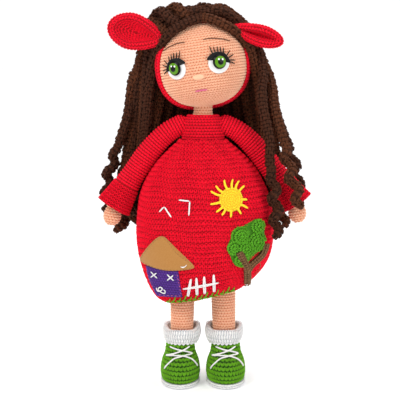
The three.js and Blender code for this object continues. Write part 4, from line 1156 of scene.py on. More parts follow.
def makeLock(name, line, seed):
    line = placeAll(line)
    line = line[:len(line) - 1 + len(line) % 2]
    radius = hair["thickness"] / 2 - 0.9
    taper = lambda t: radius * mm * min(1, 0.55 + 14 * t, 0.55 + 14 * (1 - t))
    rings = ringsAlong(line[::2], taper, 6, twist=0.02)
    # The under layer of a lock, seen in the holes between its stitches, is painted in shade, a little lighter than in
    # full
    under = skin(name + "_under", rings, toneAndShade=0.3)
    stitches = stitchRows(rings, hair["stitch"], lift=0.15)
    yarn = "hair" if seed % 2 else "shadedHair"
    lock = knit(name, stitches, "rope", yarn, under, wobble=0.12, sizeChange=0.08, seed=seed)
    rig.slot(lock, "hair_yarn")
    length = float(np.linalg.norm(np.diff(line, axis=0), axis=1).sum())
    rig.cord(lock, exit=line[0], length=length, diameter=hair["thickness"] * mm, far_end="bare",
            stiffness="medium", lay="hanging", path=[tuple(p) for p in line[::3]] + [tuple(line[-1])])
    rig.blend(lock, "body", "head", place(0, 0, 235), place(0, 0, 305))
    return lock


for seed, (name, line) in enumerate({**lockRoutes, **extraRoutes}.items()):
    made = makeLock(name + "_yarn", line, seed)
    if name in lockRoutes:
        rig.replaces(made, name)
print("locks made")

# Torso, legs, arms


def ride(made, body, slot, *nodes):
    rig.ride(made, body)
    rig.slot(made, slot)
    if nodes:
        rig.replaces(made, *nodes)
    return made


def ovalGrid(levels, sides=64):
    turn = circle(sides)
    return placeAll([[(x + width * math.cos(t), y + depth * math.sin(t), z) for t in turn]
                     for x, y, z, width, depth in levels])


skinStitch = (3.0, 2.75, 1.6)


# A stuffed limb or body in skin yarn; keep says where its stitches show
def workSkin(name, grid, body, keep):
    under = skin(name + "_under", inset(grid, 0.5))
    made = knit(name + "_knit", stitchRows(inset(grid, 0.45), skinStitch, keep), "single", "skin", under)
    return ride(made, body, "skin_yarn", name)


# Half widths over the height of the body up to the shoulders, then the neck as (height, half width, half depth)
torso = {"foot": 101, "height": 146.4, "halfWidth": 32, "halfDepth": 22,
         "shares": [(0.02, 0.4), (0.05, 0.78), (0.13, 1), (0.33, 0.98), (0.62, 0.8), (0.82, 0.64)],
         "neck": [(247.4, 18.3, 13.3), (260, 18.3, 13.3), (268, 12, 11), (272, 9.4, 9.4), (286.5, 9.2, 9.2)]}


def makeTorso():
    levels = [(0, 0, torso["foot"] + torso["height"] * rise, torso["halfWidth"] * width, torso["halfDepth"] * width)
              for rise, width in torso["shares"]]
    grid = ovalGrid(smoothLine([*levels, *[(0, 0, *level) for level in torso["neck"]]], 2.5))
    made = workSkin("torso", grid, "body", lambda p: p.z < 0.128 or p.z > 0.262)
    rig.padded(made, 0.8)


leg = {"foot": 12, "ankle": 42, "top": 128.28, "radius": 10.6, "growth": 1.8, "spread": 21.5, "lean": 1.6}


def makeLeg(name, side):
    levels = []
    for z in np.linspace(leg["foot"], int(leg["top"]), 60):
        share = max(0, (z - leg["ankle"]) / (leg["top"] - leg["ankle"]))
        radius = leg["radius"] + leg["growth"] * share ** 0.7
        levels.append((side * (leg["spread"] - leg["lean"] * share), 0, z, radius, radius))
    made = workSkin(name, ovalGrid(levels, 48), "body", lambda p: p.z > 0.05)
    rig.padded(made, 0.85)


arm = {"shoulder": (19, 263), "reach": (70.5, 83.3), "leftRaise": 2.2, "radius": 7.6, "taper": 0.8, "hand": 8.7,
       "handLength": 10.2, "handMiddle": 10.4 * 0.9, "handLean": 8,
       "shares": [(0, 0), (0.225, 0.11), (0.455, 0.305), (0.7, 0.595), (0.865, 0.815), (1, 1)]}


def armSpace(side):
    out, height = arm["shoulder"]
    raised = Matrix.Rotation(-math.radians(arm["leftRaise"]) if side > 0 else 0, 4, "Y")
    return Matrix.Translation(place(out * side, 0, height)) @ raised @ Matrix.Scale(mm, 4)


def armLine(side):
    across, drop = arm["reach"]
    return smoothLine([(side * across * out, 0, -drop * down) for out, down in arm["shares"]], 1.0)


def makeArm(name, side):
    line = armLine(side)
    lean = math.radians(arm["handLean"])
    tangent = np.array([side * math.sin(lean), 0, -math.cos(lean)])
    bend = len(line) - 5
    longer = np.vstack([line, line[-1] + np.outer(np.arange(1, 20), tangent)])
    for _ in range(6):
        longer[bend:-6] = (longer[bend - 1:-7] + 2 * longer[bend:-6] + longer[bend + 1:-5]) / 4
    handMiddle = len(line) - 1 + arm["handMiddle"]

    def radiusAt(t):
        run = t * (len(longer) - 1)
        share = min(1, run / (len(line) - 1))
        limb = arm["radius"] - arm["taper"] * share * share if run < handMiddle else 0
        ball = arm["hand"] * math.sqrt(max(0, 1 - ((run - handMiddle) / arm["handLength"]) ** 2))
        return max(limb, ball, 0.9)

    grid = moved(armSpace(side), softened(ringsAlong(longer, radiusAt, 48)))
    wrist = moved(armSpace(side), line[int(len(line) * 0.8)])
    made = workSkin(name, grid, name, lambda p: p.z < wrist[2] + 0.01)
    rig.padded(made, 0.8)


makeTorso()
for name, side in (("left", 1), ("right", -1)):
    makeLeg(name + "_leg", side)
    makeArm(name + "_arm", side)
print("body made")

# Head, hood and ears

hoodWay = Vector((math.sin(math.radians(4)), -math.cos(math.radians(4)), -0.33)).normalized()


def makeHead():
    under = skin("head_under", headGrid(-0.5))
    rows = stitchRows(headGrid(-0.4), (3.1, 2.75, 1.6), lambda p: (fromHead @ p).dot(hoodWay) > 5)
    made = knit("head_knit", rows, "single", "skin", under, 0.03, 0.03)
    ride(made, "head", "skin_yarn", "head")
    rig.padded(made, 0.9)


# Rings from the back of the hood to its edge round the face, at a distance over the head
def hoodGrid(offset, edge=8, steps=40, sides=96):
    axis = np.array(hoodWay)
    side = np.cross(axis, (0, 0, 1.0))
    side /= np.linalg.norm(side)
    up = np.cross(side, axis)
    turn = circle(sides)
    spokes = np.cos(turn)[:, None] * side + np.sin(turn)[:, None] * up
    edgeAngle = np.full(sides, math.radians(80))
    for _ in range(12):
        ways = np.cos(edgeAngle)[:, None] * axis + np.sin(edgeAngle)[:, None] * spokes
        edgeAngle = np.arccos(np.clip(edge / headReach(ways, offset), -1, 1))
    rings = []
    for share in np.linspace(0.02, 1, steps):
        angle = math.pi - share * (math.pi - edgeAngle)
        ways = np.cos(angle)[:, None] * axis + np.sin(angle)[:, None] * spokes
        rings.append(ways * headReach(ways, offset)[:, None])
    return moved(headSpace, rings)


redStitch = (3.2, 3.0, 1.4)


def areaOf(rings):
    rings = np.asarray(rings)
    a, b = rings[:-1], rings[1:]
    c, d = np.roll(b, -1, axis=1), np.roll(a, -1, axis=1)
    cross = np.cross(c - a, d - b)
    return float(np.linalg.norm(cross, axis=2).sum() / 2)


hood = {"outside": 3.6, "inside": 0.9, "rim": 1.5, "rimEdge": 8.4, "rimHalf": 1.6, "rimStitch": (3.3, 3.2, 4.0)}


def makeHood():
    outer = hoodGrid(hood["outside"])
    area = areaOf(outer)
    cloth = withLook(skin("hood_cloth", np.concatenate([outer, hoodGrid(hood["inside"])[::-1]])), yarnLooks["red"])
    made = knit("hood_stitches", stitchRows(hoodGrid(3.7), redStitch), "single", "red")
    rim = hoodGrid(hood["rim"], hood["rimEdge"])[-1:]
    forward = np.array(headSpace.to_3x3() @ hoodWay) * hood["rimHalf"]
    rimBand = np.concatenate([rim - forward, rim + forward])
    edge = knit("hood_edge", stitchRows(rimBand, hood["rimStitch"]), "bar", "red")
    ride(cloth, "head", "red_yarn", "hood")
    ride(made, "head", "red_yarn")
    ride(edge, "head", "red_yarn")
    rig.sheet(cloth, flat=(0.2, area / 0.2), held="stretched", rests_on=["head"], with_pieces=[made, edge])


earBase = (36, -17, 27.5)
openEar = {"length": 56, "width": 34, "thickness": 15, "hollow": 11.5, "rim": 5.2, "rise": 23}
foldedEar = {"length": 52, "width": 20, "thickness": 17, "hollow": 12.5, "rim": 6.4, "rise": -25}


def makeEar(name, ear, side):
    length, width, thick = ear["length"] / 2, ear["width"] / 2, ear["thickness"] / 2
    dipLength, dipWidth = length - ear["rim"], width - ear["rim"]
    profile = []
    for angle in np.linspace(86, -34, 22):
        c, s = math.cos(math.radians(angle)), math.sin(math.radians(angle))
        profile.append((length * c, width * c, thick * s))
    for angle in np.linspace(12, 84, 14):
        c, s = math.cos(math.radians(angle)), math.sin(math.radians(angle))
        profile.append((dipLength * c, dipWidth * c, -0.42 * thick * 2 + ear["hollow"] * s))
    turn = circle(72)
    rings = np.array([[(a * math.cos(t), y, b * math.sin(t)) for t in turn] for a, b, y in profile])
    fullness = 1 + 0.2 * np.clip(rings[:, :, 0] / length, -1, 1)
    rings[:, :, 2] *= np.where(fullness < 1, fullness ** 1.5, np.minimum(fullness, 1.06))
    # The hollow closes to a crease at its end by the head
    rings[22:, :, 2] *= np.clip(0.5 + (rings[22:, :, 0] / dipLength + 1) * 0.42, 0.5, 1)
    rings = softened(rings)
    space = (headSpace @ Matrix.Diagonal((side, 1, 1, 1)) @ Matrix.Translation(earBase)
             @ Matrix.Rotation(-math.radians(ear["rise"]), 4, "Y") @ Matrix.Translation((length - 2.8, 0, 0)))
    grid = moved(space, rings)
    under = skin(name + "_under", grid)
    parts = [stitchRows(grid[:24], redStitch), stitchRows(grid[24:], (3.0, 2.6, 1.1), inward=True)]
    made = knit(name + "_knit", gathered(parts), "single", "red", under, 0.06, 0.05)
    ride(made, "head", "red_yarn", name)
    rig.padded(made, 0.7)


makeHead()
makeHood()
makeEar("right_ear", openEar, -1)
makeEar("left_ear", foldedEar, 1)
print("head made")

# Dress: skirt, yoke and sleeves

skirt = {"height": 154.8, "hem": 92, "halfWidth": 68.5, "shift": 2, "depthShare": 0.8, "slope": 0.2, "gathers": 12,
         "gatherDepth": 0.9, "wall": 2.4, "band": 10.4, "ridge": 1.6, "wave": 0.6}
skirtShares = [(0, 0.56), (0.022, 0.65), (0.06, 0.74), (0.11, 0.82), (0.18, 0.9), (0.27, 0.965), (0.39, 1),
               (0.52, 0.985), (0.64, 0.94), (0.75, 0.84), (0.85, 0.69), (0.93, 0.51), (0.985, 0.37), (1, 0.35)]


def skirtGrid(offset, sides=192):
    outline = smoothLine([(rise * skirt["height"], width * skirt["halfWidth"]) for rise, width in skirtShares], 2.2)
    turn = circle(sides)
    rings = []
    for height, halfWidth in outline:
        rise = height / skirt["height"]
        fullness = math.sin(math.pi * min(1, rise * 1.15))
        slope = skirt["slope"] * max(0, 1 - rise * 3) ** 1.5
        gather = skirt["gatherDepth"] * max(0, rise * 4 - 3) * (1 - rise) * 6
        width = halfWidth + offset
        fold = 1 + gather * np.cos(turn * skirt["gathers"]) / width
        x = width * fold * np.cos(turn)
        y = (width * skirt["depthShare"] + offset * (1 - skirt["depthShare"])) * fold * np.sin(turn)
        rings.append(np.stack([x + skirt["shift"] * fullness, y, skirt["hem"] + height + slope * x], axis=-1))
    return placeAll(rings)


onSkirt = projector(skirtGrid(0), uprightSpace(0))


# Rows that go a little up and down round the skirt, as hand work does
def waved(rows):
    around = np.arctan2(rows["at"][:, 1], rows["at"][:, 0] - bodyMiddle)
    rows["at"][:, 2] += skirt["wave"] * mm * np.sin(around * 9 + rows["at"][:, 2] * 90)
    return rows


# Each band is two rows of double stitches, with a ridge between it and the next
def makeSkirt():
    outer, band = skirtGrid(-0.6), skirt["band"]
    area = areaOf(outer)
    shell = np.concatenate([outer, skirtGrid(-skirt["wall"])[::-1]])
    cloth = withLook(skin("dress_skirt_cloth", shell, shell=True), yarnLooks["red"])
    rows = waved(stitchRows(skirtGrid(-0.7), (3.8, band / 2, 1.8)))
    tall = knit("dress_skirt_stitches", rows, "double", "red", wobble=0.09, sizeChange=0.07)
    rows = waved(stitchRows(skirtGrid(-0.3), (3.9, band, 1.5), first=0))
    rows["size"][:, 1] = skirt["ridge"] * mm
    ridge = knit("dress_skirt_ridges", rows, "ridge", "red", wobble=0.08)
    hem = knit("dress_skirt_hem", stitchRows(skirtGrid(-1.1)[:3], (3.6, 3, 2.8)), "bar", "red")
    ride(cloth, "body", "red_yarn", "dress_skirt")
    for made in (tall, ridge, hem):
        ride(made, "body", "red_yarn")
    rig.sheet(cloth, flat=(area / 0.19, 0.19), held="gathered", rests_on=["dress_yoke_cloth"],
             with_pieces=[tall, ridge, hem])


# Height, half width and half depth of the yoke's levels
yokeLevels = [(247.4 - 1, 21.0, 16.2), (250, 21.4, 16.4), (263, 21.4, 16.4), (268, 18.2, 15), (271.8, 14.5, 13)]


def makeYoke():
    grid = ovalGrid([(0, 0, *level) for level in smoothLine(yokeLevels, 1.5)])
    area = areaOf(grid)
    shell = np.concatenate([inset(grid, 0.6), inset(grid, 2.2)[::-1]])
    cloth = withLook(skin("dress_yoke_cloth", shell, shell=True), yarnLooks["red"])
    made = knit("dress_yoke_stitches", stitchRows(inset(grid, 0.5), (3.1, 2.9, 1.3)), "single", "red")
    ride(cloth, "body", "red_yarn", "dress_yoke")
    ride(made, "body", "red_yarn")
    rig.sheet(cloth, flat=(area / 0.027, 0.027), held="stretched", rests_on=["torso_knit"], with_pieces=[made])


sleeve = {"radius": 9.7, "growth": 1.8, "flare": 5.5, "ripples": 7, "ripple": 0.045, "flareRings": 26,
          "cap": [80, 66, 52, 38, 25, 12], "capShare": 0.8}


def sleeveRadius(t):
    flare = max(0, (t - 0.62) / 0.38)
    return sleeve["radius"] + sleeve["growth"] * min(1, t * 2.2) + sleeve["flare"] * flare ** 1.4


def makeSleeve(name, side):
    line = armLine(side)[3:]
    turn = circle(64)

    # The sleeve starts on the shoulder as a rounded cap, so no skin shows between it and the yoke
    def sleeveGrid(offset):
        grid = ringsAlong(line, lambda t: sleeveRadius(t) + offset, 64)
        for index in range(len(line)):
            flare = max(0, (index / (len(line) - 1) - 0.75) / 0.25)
            wave = 1 + sleeve["ripple"] * flare * np.cos(turn * sleeve["ripples"] + 0.6)
            grid[index] = line[index] + (grid[index] - line[index]) * wave[:, None]
        grid = moved(armSpace(side), grid)
        inward = grid[0].mean(0) - grid[4].mean(0)
        inward /= np.linalg.norm(inward)
        radius = (sleeveRadius(0) + offset) * mm
        middle = grid[0].mean(0)
        cap = [middle + inward * radius * math.sin(a) * sleeve["capShare"] + (grid[0] - middle) * math.cos(a)
               for a in np.radians(sleeve["cap"])]
        return np.concatenate([np.array(cap), grid])

    armName = name.replace("sleeve", "arm")
    shell = np.concatenate([sleeveGrid(-0.6), sleeveGrid(-1.6)[::-1]])
    cloth = withLook(skin(name + "_cloth", shell, shell=True), yarnLooks["red"])
    outer = sleeveGrid(-0.45)
    area = areaOf(outer)
    split = len(outer) - sleeve["flareRings"]
    upper = knit(name + "_stitches", stitchRows(outer[:split], (3.1, 2.9, 1.5)), "bar", "red", wobble=0.05)
    lower = knit(name + "_flare", stitchRows(outer[split:], (3.3, 3.2, 2.0)), "double", "red", wobble=0.14)
    ride(cloth, armName, "red_yarn", name)
    ride(upper, armName, "red_yarn")
    ride(lower, armName, "red_yarn")
    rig.sheet(cloth, flat=(area / 0.105, 0.105), held="hung", rests_on=[armName + "_knit"],
             with_pieces=[upper, lower])


makeSkirt()
makeYoke()
makeSleeve("left_sleeve", 1)
makeSleeve("right_sleeve", -1)
print("dress made")

# Shoes, soles, cuffs and laces

shoe = {"spread": 23, "sole": 5, "bottom": 5.35, "halfWidth": 19.4, "toe": 32, "heel": 21, "top": 42,
        "stitch": (3.9, 4.2, 1.9), "soleStitch": (3.3, 2.5, 1.2), "lace": 0.78}
shoeShares = [(0, 0.93, 0.96, 0.93), (0.13, 1, 1, 1), (0.32, 1, 0.98, 1), (0.52, 0.93, 0.84, 0.94),
              (0.72, 0.79, 0.56, 0.77), (1, 0.71, 0.43, 0.66)]
soleShares = [(0, 0.97), (0.18, 1.01), (0.82, 1.02), (1, 0.98)]
laceShares = [[(-0.52, 0.93), (-0.1, 0.875), (0.3, 0.83), (0.6, 0.765), (0.3, 0.745), (0.01, 0.715), (-0.28, 0.675),
               (-0.5, 0.6), (-0.68, 0.51), (-0.78, 0.43)],
              [(0.47, 0.94), (0.2, 0.87), (-0.3, 0.775), (-0.68, 0.71), (-0.3, 0.735), (0.14, 0.725), (0.4, 0.69),
               (0.6, 0.64), (0.76, 0.56), (0.86, 0.47)]]


def shoeRing(middle, z, width, toe, heel, sides=64):
    turn = circle(sides)
    reach = np.where(np.sin(turn) < 0, toe, heel)
    return placeAll(np.stack([middle + width * np.cos(turn), reach * np.sin(turn), 0 * turn + z], axis=1))


def shoeGrid(middle, offset=0.0):
    high = shoe["top"] - shoe["bottom"]
    levels = smoothLine([(shoe["bottom"] + high * rise, shoe["halfWidth"] * width, shoe["toe"] * toe,
                          shoe["heel"] * heel) for rise, width, toe, heel in shoeShares], 1.8)
    return np.array([shoeRing(middle, z, *(reach + offset for reach in reaches)) for z, *reaches in levels])


def makeShoe(name, side):
    middle = side * shoe["spread"]
    grid = shoeGrid(middle, -0.5)
    under = skin(name + "_shoe_under", grid)
    rows = stitchRows(grid, shoe["stitch"], lift=-0.1)
    made = knit(name + "_shoe_knit", rows, "single", "shoe", under, 0.08, 0.06)
    ride(made, "body", "green_yarn", name + "_shoe")
    levels = smoothLine([(0.3 + (shoe["sole"] - 0.3) * rise, width) for rise, width in soleShares], 0.8)
    rings = np.array([shoeRing(middle, z, *(shoe[key] * width - 0.5 for key in ("halfWidth", "toe", "heel")))
                      for z, width in levels])
    under = skin(name + "_sole_under", rings)
    rows = stitchRows(rings[1:], shoe["soleStitch"])
    rows["at"][:, 2] = np.maximum(rows["at"][:, 2], 1.5 * mm)
    made = knit(name + "_sole_knit", rows, "bar", "white", under, 0.1, 0.1)
    ride(made, "body", "white_yarn", name + "_sole")
    onShoe = projector(shoeGrid(middle), uprightSpace(middle))
    lines = [[(x * shoe["halfWidth"], z * shoe["top"]) for x, z in line] for line in laceShares]
    laces = [strandOn(line, onShoe, shoe["lace"], 0.95 + 0.3 * index) for index, line in enumerate(lines)]
    ride(threads(name + "_lace_yarn", laces, "white"), "body", "white_yarn", name + "_lace")


cuff = {"spread": 21.5, "middle": 50.0, "reach": 14.9, "halfWall": 3.4, "halfHeight": 7.2, "waves": 3,
        "stitch": (2.6, 4.6, 1.2), "edgeReach": 14.7, "edgeHeight": 43.4, "edgeDrops": (0.4, 1.7), "edgeRadius": 0.85}


# A ruffle round the ankle: fuller on the outside, with a soft wave along its upper edge
def cuffGrid(middle, sides=72):
    turn = circle(sides)
    crest = 0.5 + 0.5 * np.cos(turn * cuff["waves"] - math.pi / 2)
    rings = []
    for angle in np.radians(np.linspace(-74, 250, 22)):
        height = math.sin(angle)
        out = cuff["reach"] + cuff["halfWall"] * math.cos(angle) + (0.6 + 1.6 * crest) * max(0, height + 0.4)
        up = cuff["halfHeight"] * height + max(0, height) * (2.4 * crest - 2.6 + 1.9 * (1 + np.sin(turn)))
        rings.append(np.stack([middle + out * np.cos(turn), out * np.sin(turn), cuff["middle"] + up], axis=1))
    return placeAll(rings)


def makeCuff(name, side):
    middle = side * cuff["spread"]
    grid = cuffGrid(middle)
    under = skin(name + "_cuff_under", inset(grid, 0.4))
    rows = stitchRows(inset(grid, 0.5), cuff["stitch"], brick=0)
    made = knit(name + "_cuff_knit", rows, "rib", "white", under, 0.05, 0.08)
    ride(made, "body", "white_yarn", name + "_cuff")
    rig.padded(made, 0.6)
    # Two strands go up and down round its lower edge, where it is sewn to the shoe
    turn = np.linspace(0, math.tau, 177)
    zigzag = np.abs((np.arange(177) % 8) - 4) / 4
    reach = cuff["edgeReach"] + 0.7 * zigzag
    edges = []
    for drop in cuff["edgeDrops"]:
        edge = np.stack([middle + reach * np.cos(turn), reach * np.sin(turn), cuff["edgeHeight"] - drop * zigzag],
                        axis=1)
        line = evenly(placeAll(edge), 0.6 * mm)
        edges.append({"points": line, "radii": np.full(len(line), cuff["edgeRadius"] * mm), "sides": 6,
                      "front": (0, 0, 1), "turns": len(line) / 5})
    ride(threads(name + "_cuff_edge", edges, "white"), "body", "white_yarn")


for name, side in (("left", 1), ("right", -1)):
    makeShoe(name, side)
    makeCuff(name, side)
print("shoes made")

# Face: eyes, lids, brows, nose and mouth, all in the turned frame of the face

eye = {"spacing": 41, "drop": 2.6, "radius": 6.9, "rise": 3.4, "rim": 0.9, "stem": 2, "stemLength": 13,
       "white": (9.3, 9.6), "lid": 9.6, "lash": 0.62}
brow = {"height": 16.6, "scale": 12.2, "radius": 0.42}
nose = {"halfWidth": 6.2, "halfHeight": 2.4, "drop": 13.9, "rows": 6}
felt = {"low": 0.35, "high": 1.45, "seam": 0.35}
onFace = projector(headGrid(0, 90, 160), faceSpace)
lidShares = [(-1.1, 0.36), (-0.75, 0.78), (-0.1, 0.97), (0.5, 0.8), (0.86, 0.24), (0.95, -0.26), (0.8, -0.1),
             (0.76, 0.12), (0.52, 0.56), (0, 0.77), (-0.5, 0.58), (-0.72, 0.36)]
lashShares = [[(-0.46, 0.74), (-0.7, 1.6)], [(-0.23, 0.85), (-0.35, 1.52)], [(0.02, 0.88), (0, 1.5)],
              [(0.28, 0.8), (0.27, 1.42)], [(0.5, 0.66), (0.58, 1.3)], [(0.68, 0.42), (1.1, 0.98)],
              [(0.8, 0.22), (1.36, 0.52)], [(0.84, 0.02), (1.44, -0.1)], [(0.86, -0.12), (1.34, -0.44)]]
browShares = [(-1, 0.28), (-0.5, 0.3), (0, 0.235), (0.5, 0.1), (1, -0.11)]


def eyeSpace(side):
    x, z = side * eye["spacing"] / 2, -eye["drop"]
    y = -math.sqrt(head["radius"] ** 2 - x * x - z * z) * head["depthShare"]
    out = Vector((x, y, z)).normalized()
    across = Vector((0, 0, 1)).cross(out).normalized()
    up = out.cross(across)
    turned = Matrix((across, up, out)).transposed().to_4x4()
    return faceSpace @ Matrix.Translation((x, y, z)) @ turned


# A turned solid from (radius, height) pairs; its disc places are kept for the iris
def turnedPiece(name, profile, space, sides=64, looped=False):
    turn = circle(sides)
    rings = [[(r * math.cos(t), r * math.sin(t), h) for t in turn] for r, h in profile]
    made = skin(name, moved(space, rings), shell=looped)
    layer = made.data.uv_layers.new(name="disc")
    back = space.inverted()
    flat = [(back @ v.co) / eye["radius"] for v in made.data.vertices]
    layer.data.foreach_set("uv", [value for loop in made.data.loops for value in flat[loop.vertex_index][:2]])
    return made


# From the end of the stem, out round the rim, and over the dome
def domeProfile():
    base = felt["high"] + felt["seam"]
    radius, rim, stem, end = eye["radius"], eye["rim"], eye["stem"], -eye["stemLength"]
    profile = [(0.3, end + 0.7), (stem - 0.3, end + 0.7), (stem, end + 1), (stem, base), (radius - rim, base)]
    profile += [(radius - rim + rim * math.cos(a), base + rim + rim * math.sin(a))
                for a in np.radians([-60, -20, 20, 60])]
    top = felt["high"] + eye["rise"] + rim
    start = base + rim * 1.9
    profile += [(radius * 0.92 * math.cos(a), start + (top - start) * math.sin(a))
                for a in np.radians(range(0, 88, 8))]
    return profile


eyeLook = eyeMaterial()
washerLook = plasticMaterial()


def makeEye(name, side):
    dome = withLook(turnedPiece(name + "_eye_dome", domeProfile(), eyeSpace(side)), eyeLook)
    ride(dome, "head", "green_eye", name + "_eye")
    washer = frame["nodes"][name + "_eye_washer"]
    washer.data.materials.clear()
    withLook(washer, washerLook)
    x, z = side * eye["spacing"] / 2, -eye["drop"]
    turn = circle(72)
    wide, tall = eye["white"]
    ringOf = np.stack([x - side * wide * 0.04 + wide * np.cos(turn), z - tall * 0.13 + tall * np.sin(turn)], axis=1)
    white = patch(name + "_eye_white_felt", ringOf, onFace, felt["low"], felt["high"], 0.6, 1.4)
    ride(withLook(white, whiteFelt), "head", "white_felt", name + "_eye_white")
    faceAt = lambda share: (x + side * share[0] * eye["lid"], z + share[1] * eye["lid"])
    outline = closedLine([faceAt(p) for p in lidShares], 0.5)
    if side < 0:
        outline = outline[::-1]
    lid = patch(name + "_eyelid_felt", outline, onFace, felt["high"] + 0.35, felt["high"] * 2, 0.5, 1.0)
    ride(withLook(lid, blackFelt), "head", "black_felt", name + "_eyelid")
    lashes = []
    for index, (root, tip) in enumerate(lashShares):
        (ax, az), (bx, bz) = faceAt(root), faceAt(tip)
        middle = ((ax + bx) / 2 + side * (0.35 if index > 4 else -0.2), (az + bz) / 2 + 0.25)
        strand = strandOn([(ax, az), middle, (bx, bz)], onFace, 0.5, 1.9, flatten=0.7, sides=6, step=0.5)
        count = len(strand["points"])
        strand["radii"] = eye["lash"] * mm * np.clip(1.1 - np.linspace(0, 1, count) ** 2 * 0.6, 0.3, 1)
        lashes.append(strand)
    ride(threads(name + "_lashes", lashes, "lash"), "head", "black_felt")
    scale = brow["scale"]
    line = [(side * (eye["spacing"] / 2 + bx * scale), brow["height"] + bz * scale) for bx, bz in browShares]
    stitch = strandOn(line, onFace, brow["radius"], 0.75, taper=0.3, sides=6)
    ride(threads(name + "_brow_stitch", [stitch], "brow"), "head", "brow_thread", name + "_brow")


def makeNoseAndMouth():
    turn = circle(56)
    wide, tall, drop = nose["halfWidth"], nose["halfHeight"], nose["drop"]
    ringOf = np.stack([wide * np.cos(turn), tall * np.sin(turn) - drop], axis=1)
    under = patch("nose_under", ringOf, onFace, 0.2, 1.9, 2.3, 0.9)
    ride(withLook(under, yarnLooks["skin"]), "head", "skin_yarn", "nose")
    rows = []
    for z in np.linspace(-0.8, 0.8, nose["rows"]):
        half = wide * math.sqrt(1 - z * z) * 1.02
        lift = 0.5 + 1.5 * math.sqrt(1 - z * z)
        row = [(share * half, z * tall - drop) for share in (-1, 0, 1)]
        strand = strandOn(row, onFace, 0.55, lift, taper=0.4)
        count = len(strand["points"])
        ground = onFace(np.stack([np.linspace(-half, half, count), np.full(count, z * tall - drop)], axis=1), 0.3)
        heights = np.sin(np.linspace(0, math.pi, count)) ** 0.5
        strand["points"] = ground + (strand["points"] - ground) * heights[:, None]
        rows.append(strand)
    ride(threads("nose_yarn", rows, "skin", 0.95), "head", "skin_yarn")
    lips = [strandOn([(-6.1, -26.6 + dz - 0.1), (-2, -26.4 + dz * 1.3), (2, -26.45 + dz * 1.3), (6.1, -26.6 + dz)],
                     onFace, 0.46, 1.15, taper=0.3) for dz in (-0.26, 0.26)]
    ride(threads("mouth_yarn", lips, "lip"), "head", "lip_thread", "mouth")


makeEye("left", 1)
makeEye("right", -1)
makeNoseAndMouth()
print("face made")

# Pictures sewn on the skirt

sun = {"radius": 10.4, "x": 26.5, "z": 191.5, "rings": 2.3, "stitch": (2.7, 2.6, 1.5)}
# The way of each ray in degrees, and how far out it ends, in radii
sunRays = [(110, 1.9), (85, 1.82), (66, 1.82), (44, 1.73), (-3, 1.5), (-29, 1.78), (-56, 1.64), (-92, 1.62),
           (-122, 1.65), (-142, 1.77), (-169, 1.96), (157, 2.05), (138, 1.92)]
tree = {"x": 41.5, "z": 148, "halfWidth": 19.5, "halfHeight": 24, "trunk": 7, "rings": 2.5,
        "leafStitch": (3.4, 3.0, 2.3), "barkStitch": (2.6, 2.9, 1.9)}
# Round tufts of the crown: across and up from its middle, and radius, in millimetres
crownLobes = [(-1.3, -3.5, 10.4), (9.3, 1.6, 9.9), (10.2, 16.6, 7.6), (-5.8, 8.4, 8.3), (-12.4, -2.4, 6.9),
              (-5.6, -14.4, 8.2)]
trunkLines = [[(0.04, -1.74), (0.03, -1.3), (0, -0.95), (-0.2, -0.62), (-0.38, -0.3)],
              [(0.02, -1.1), (0.22, -0.86), (0.42, -0.72), (0.7, -0.54), (0.86, -0.34), (0.95, -0.1)]]
house = {"x": -35, "eaves": 124, "halfWidth": 26.5, "roof": 32}
roofShares = [(-0.16, 1), (-0.96, 0.24), (-0.97, 0.12), (-0.5, 0), (0, -0.05), (0.62, 0), (1, 0.09), (0.95, 0.19),
              (0.46, 0.5)]
wallShares = [(-0.8, -0.01), (-0.02, -0.05), (0.42, -0.04), (0.56, -0.92), (-0.42, -0.99), (-0.68, -0.5)]
fence = {"x": -2.3, "z": 107.8, "halfWidth": 17.5, "post": 20, "slope": 0.2, "posts": (-0.62, -0.22, 0.2, 0.72)}
birds = {"x": -27, "z": 184, "scale": 15, "lines": {
    "low_bird": [(-1, -0.35), (-0.66, 0.02), (-0.2, -0.64)],
    "high_bird": [(0.24, 0.48), (0.96, 0.43), (0.9, -0.5)]}}
grass = {"left": -33, "right": 33, "spacing": 5.2, "heights": (8.6, 6.4)}


def makeSun():
    turn = circle(48)
    places = np.stack([sun["x"] + sun["radius"] * np.cos(turn), sun["z"] + sun["radius"] * np.sin(turn)], axis=1)
    under = patch("sun_under", places, onSkirt, 0.35, 1.2, 1.4)
    parts = []
    for radius in np.arange(1.1, sun["radius"], sun["rings"]):
        count = max(3, round(math.tau * radius / 2.6))
        for t in circle(count) + radius:
            flat = [(sun["x"] + radius * math.cos(t), sun["z"] + radius * math.sin(t))]
            parts.append(stitchesAt(flat, onSkirt, sun["stitch"], 1.0, math.pi / 2 - t))
    made = knit("sun_knit", gathered(parts), "single", "sun", under, 0.15, 0.1)
    ride(made, "body", "yellow_yarn", "sun")
    rays = []
    for degree, reach in sunRays:
        way = np.array([math.cos(math.radians(degree)), math.sin(math.radians(degree))])
        side = np.array([-way[1], way[0]]) * 0.5
        start = np.array([sun["x"], sun["z"]]) + way * sun["radius"] * 0.88
        end = np.array([sun["x"], sun["z"]]) + way * sun["radius"] * reach
        bend = (start + end) / 2 + side * (1.6 if degree > 60 else 0.6)
        for sign in (-1, 1):
            rays.append(strandOn([start + side * sign, bend + side * sign * 0.9, end + side * sign * 0.4],
                                 onSkirt, 0.62, 1.3))
    ride(threads("sun_rays", rays, "sun"), "body", "yellow_yarn")


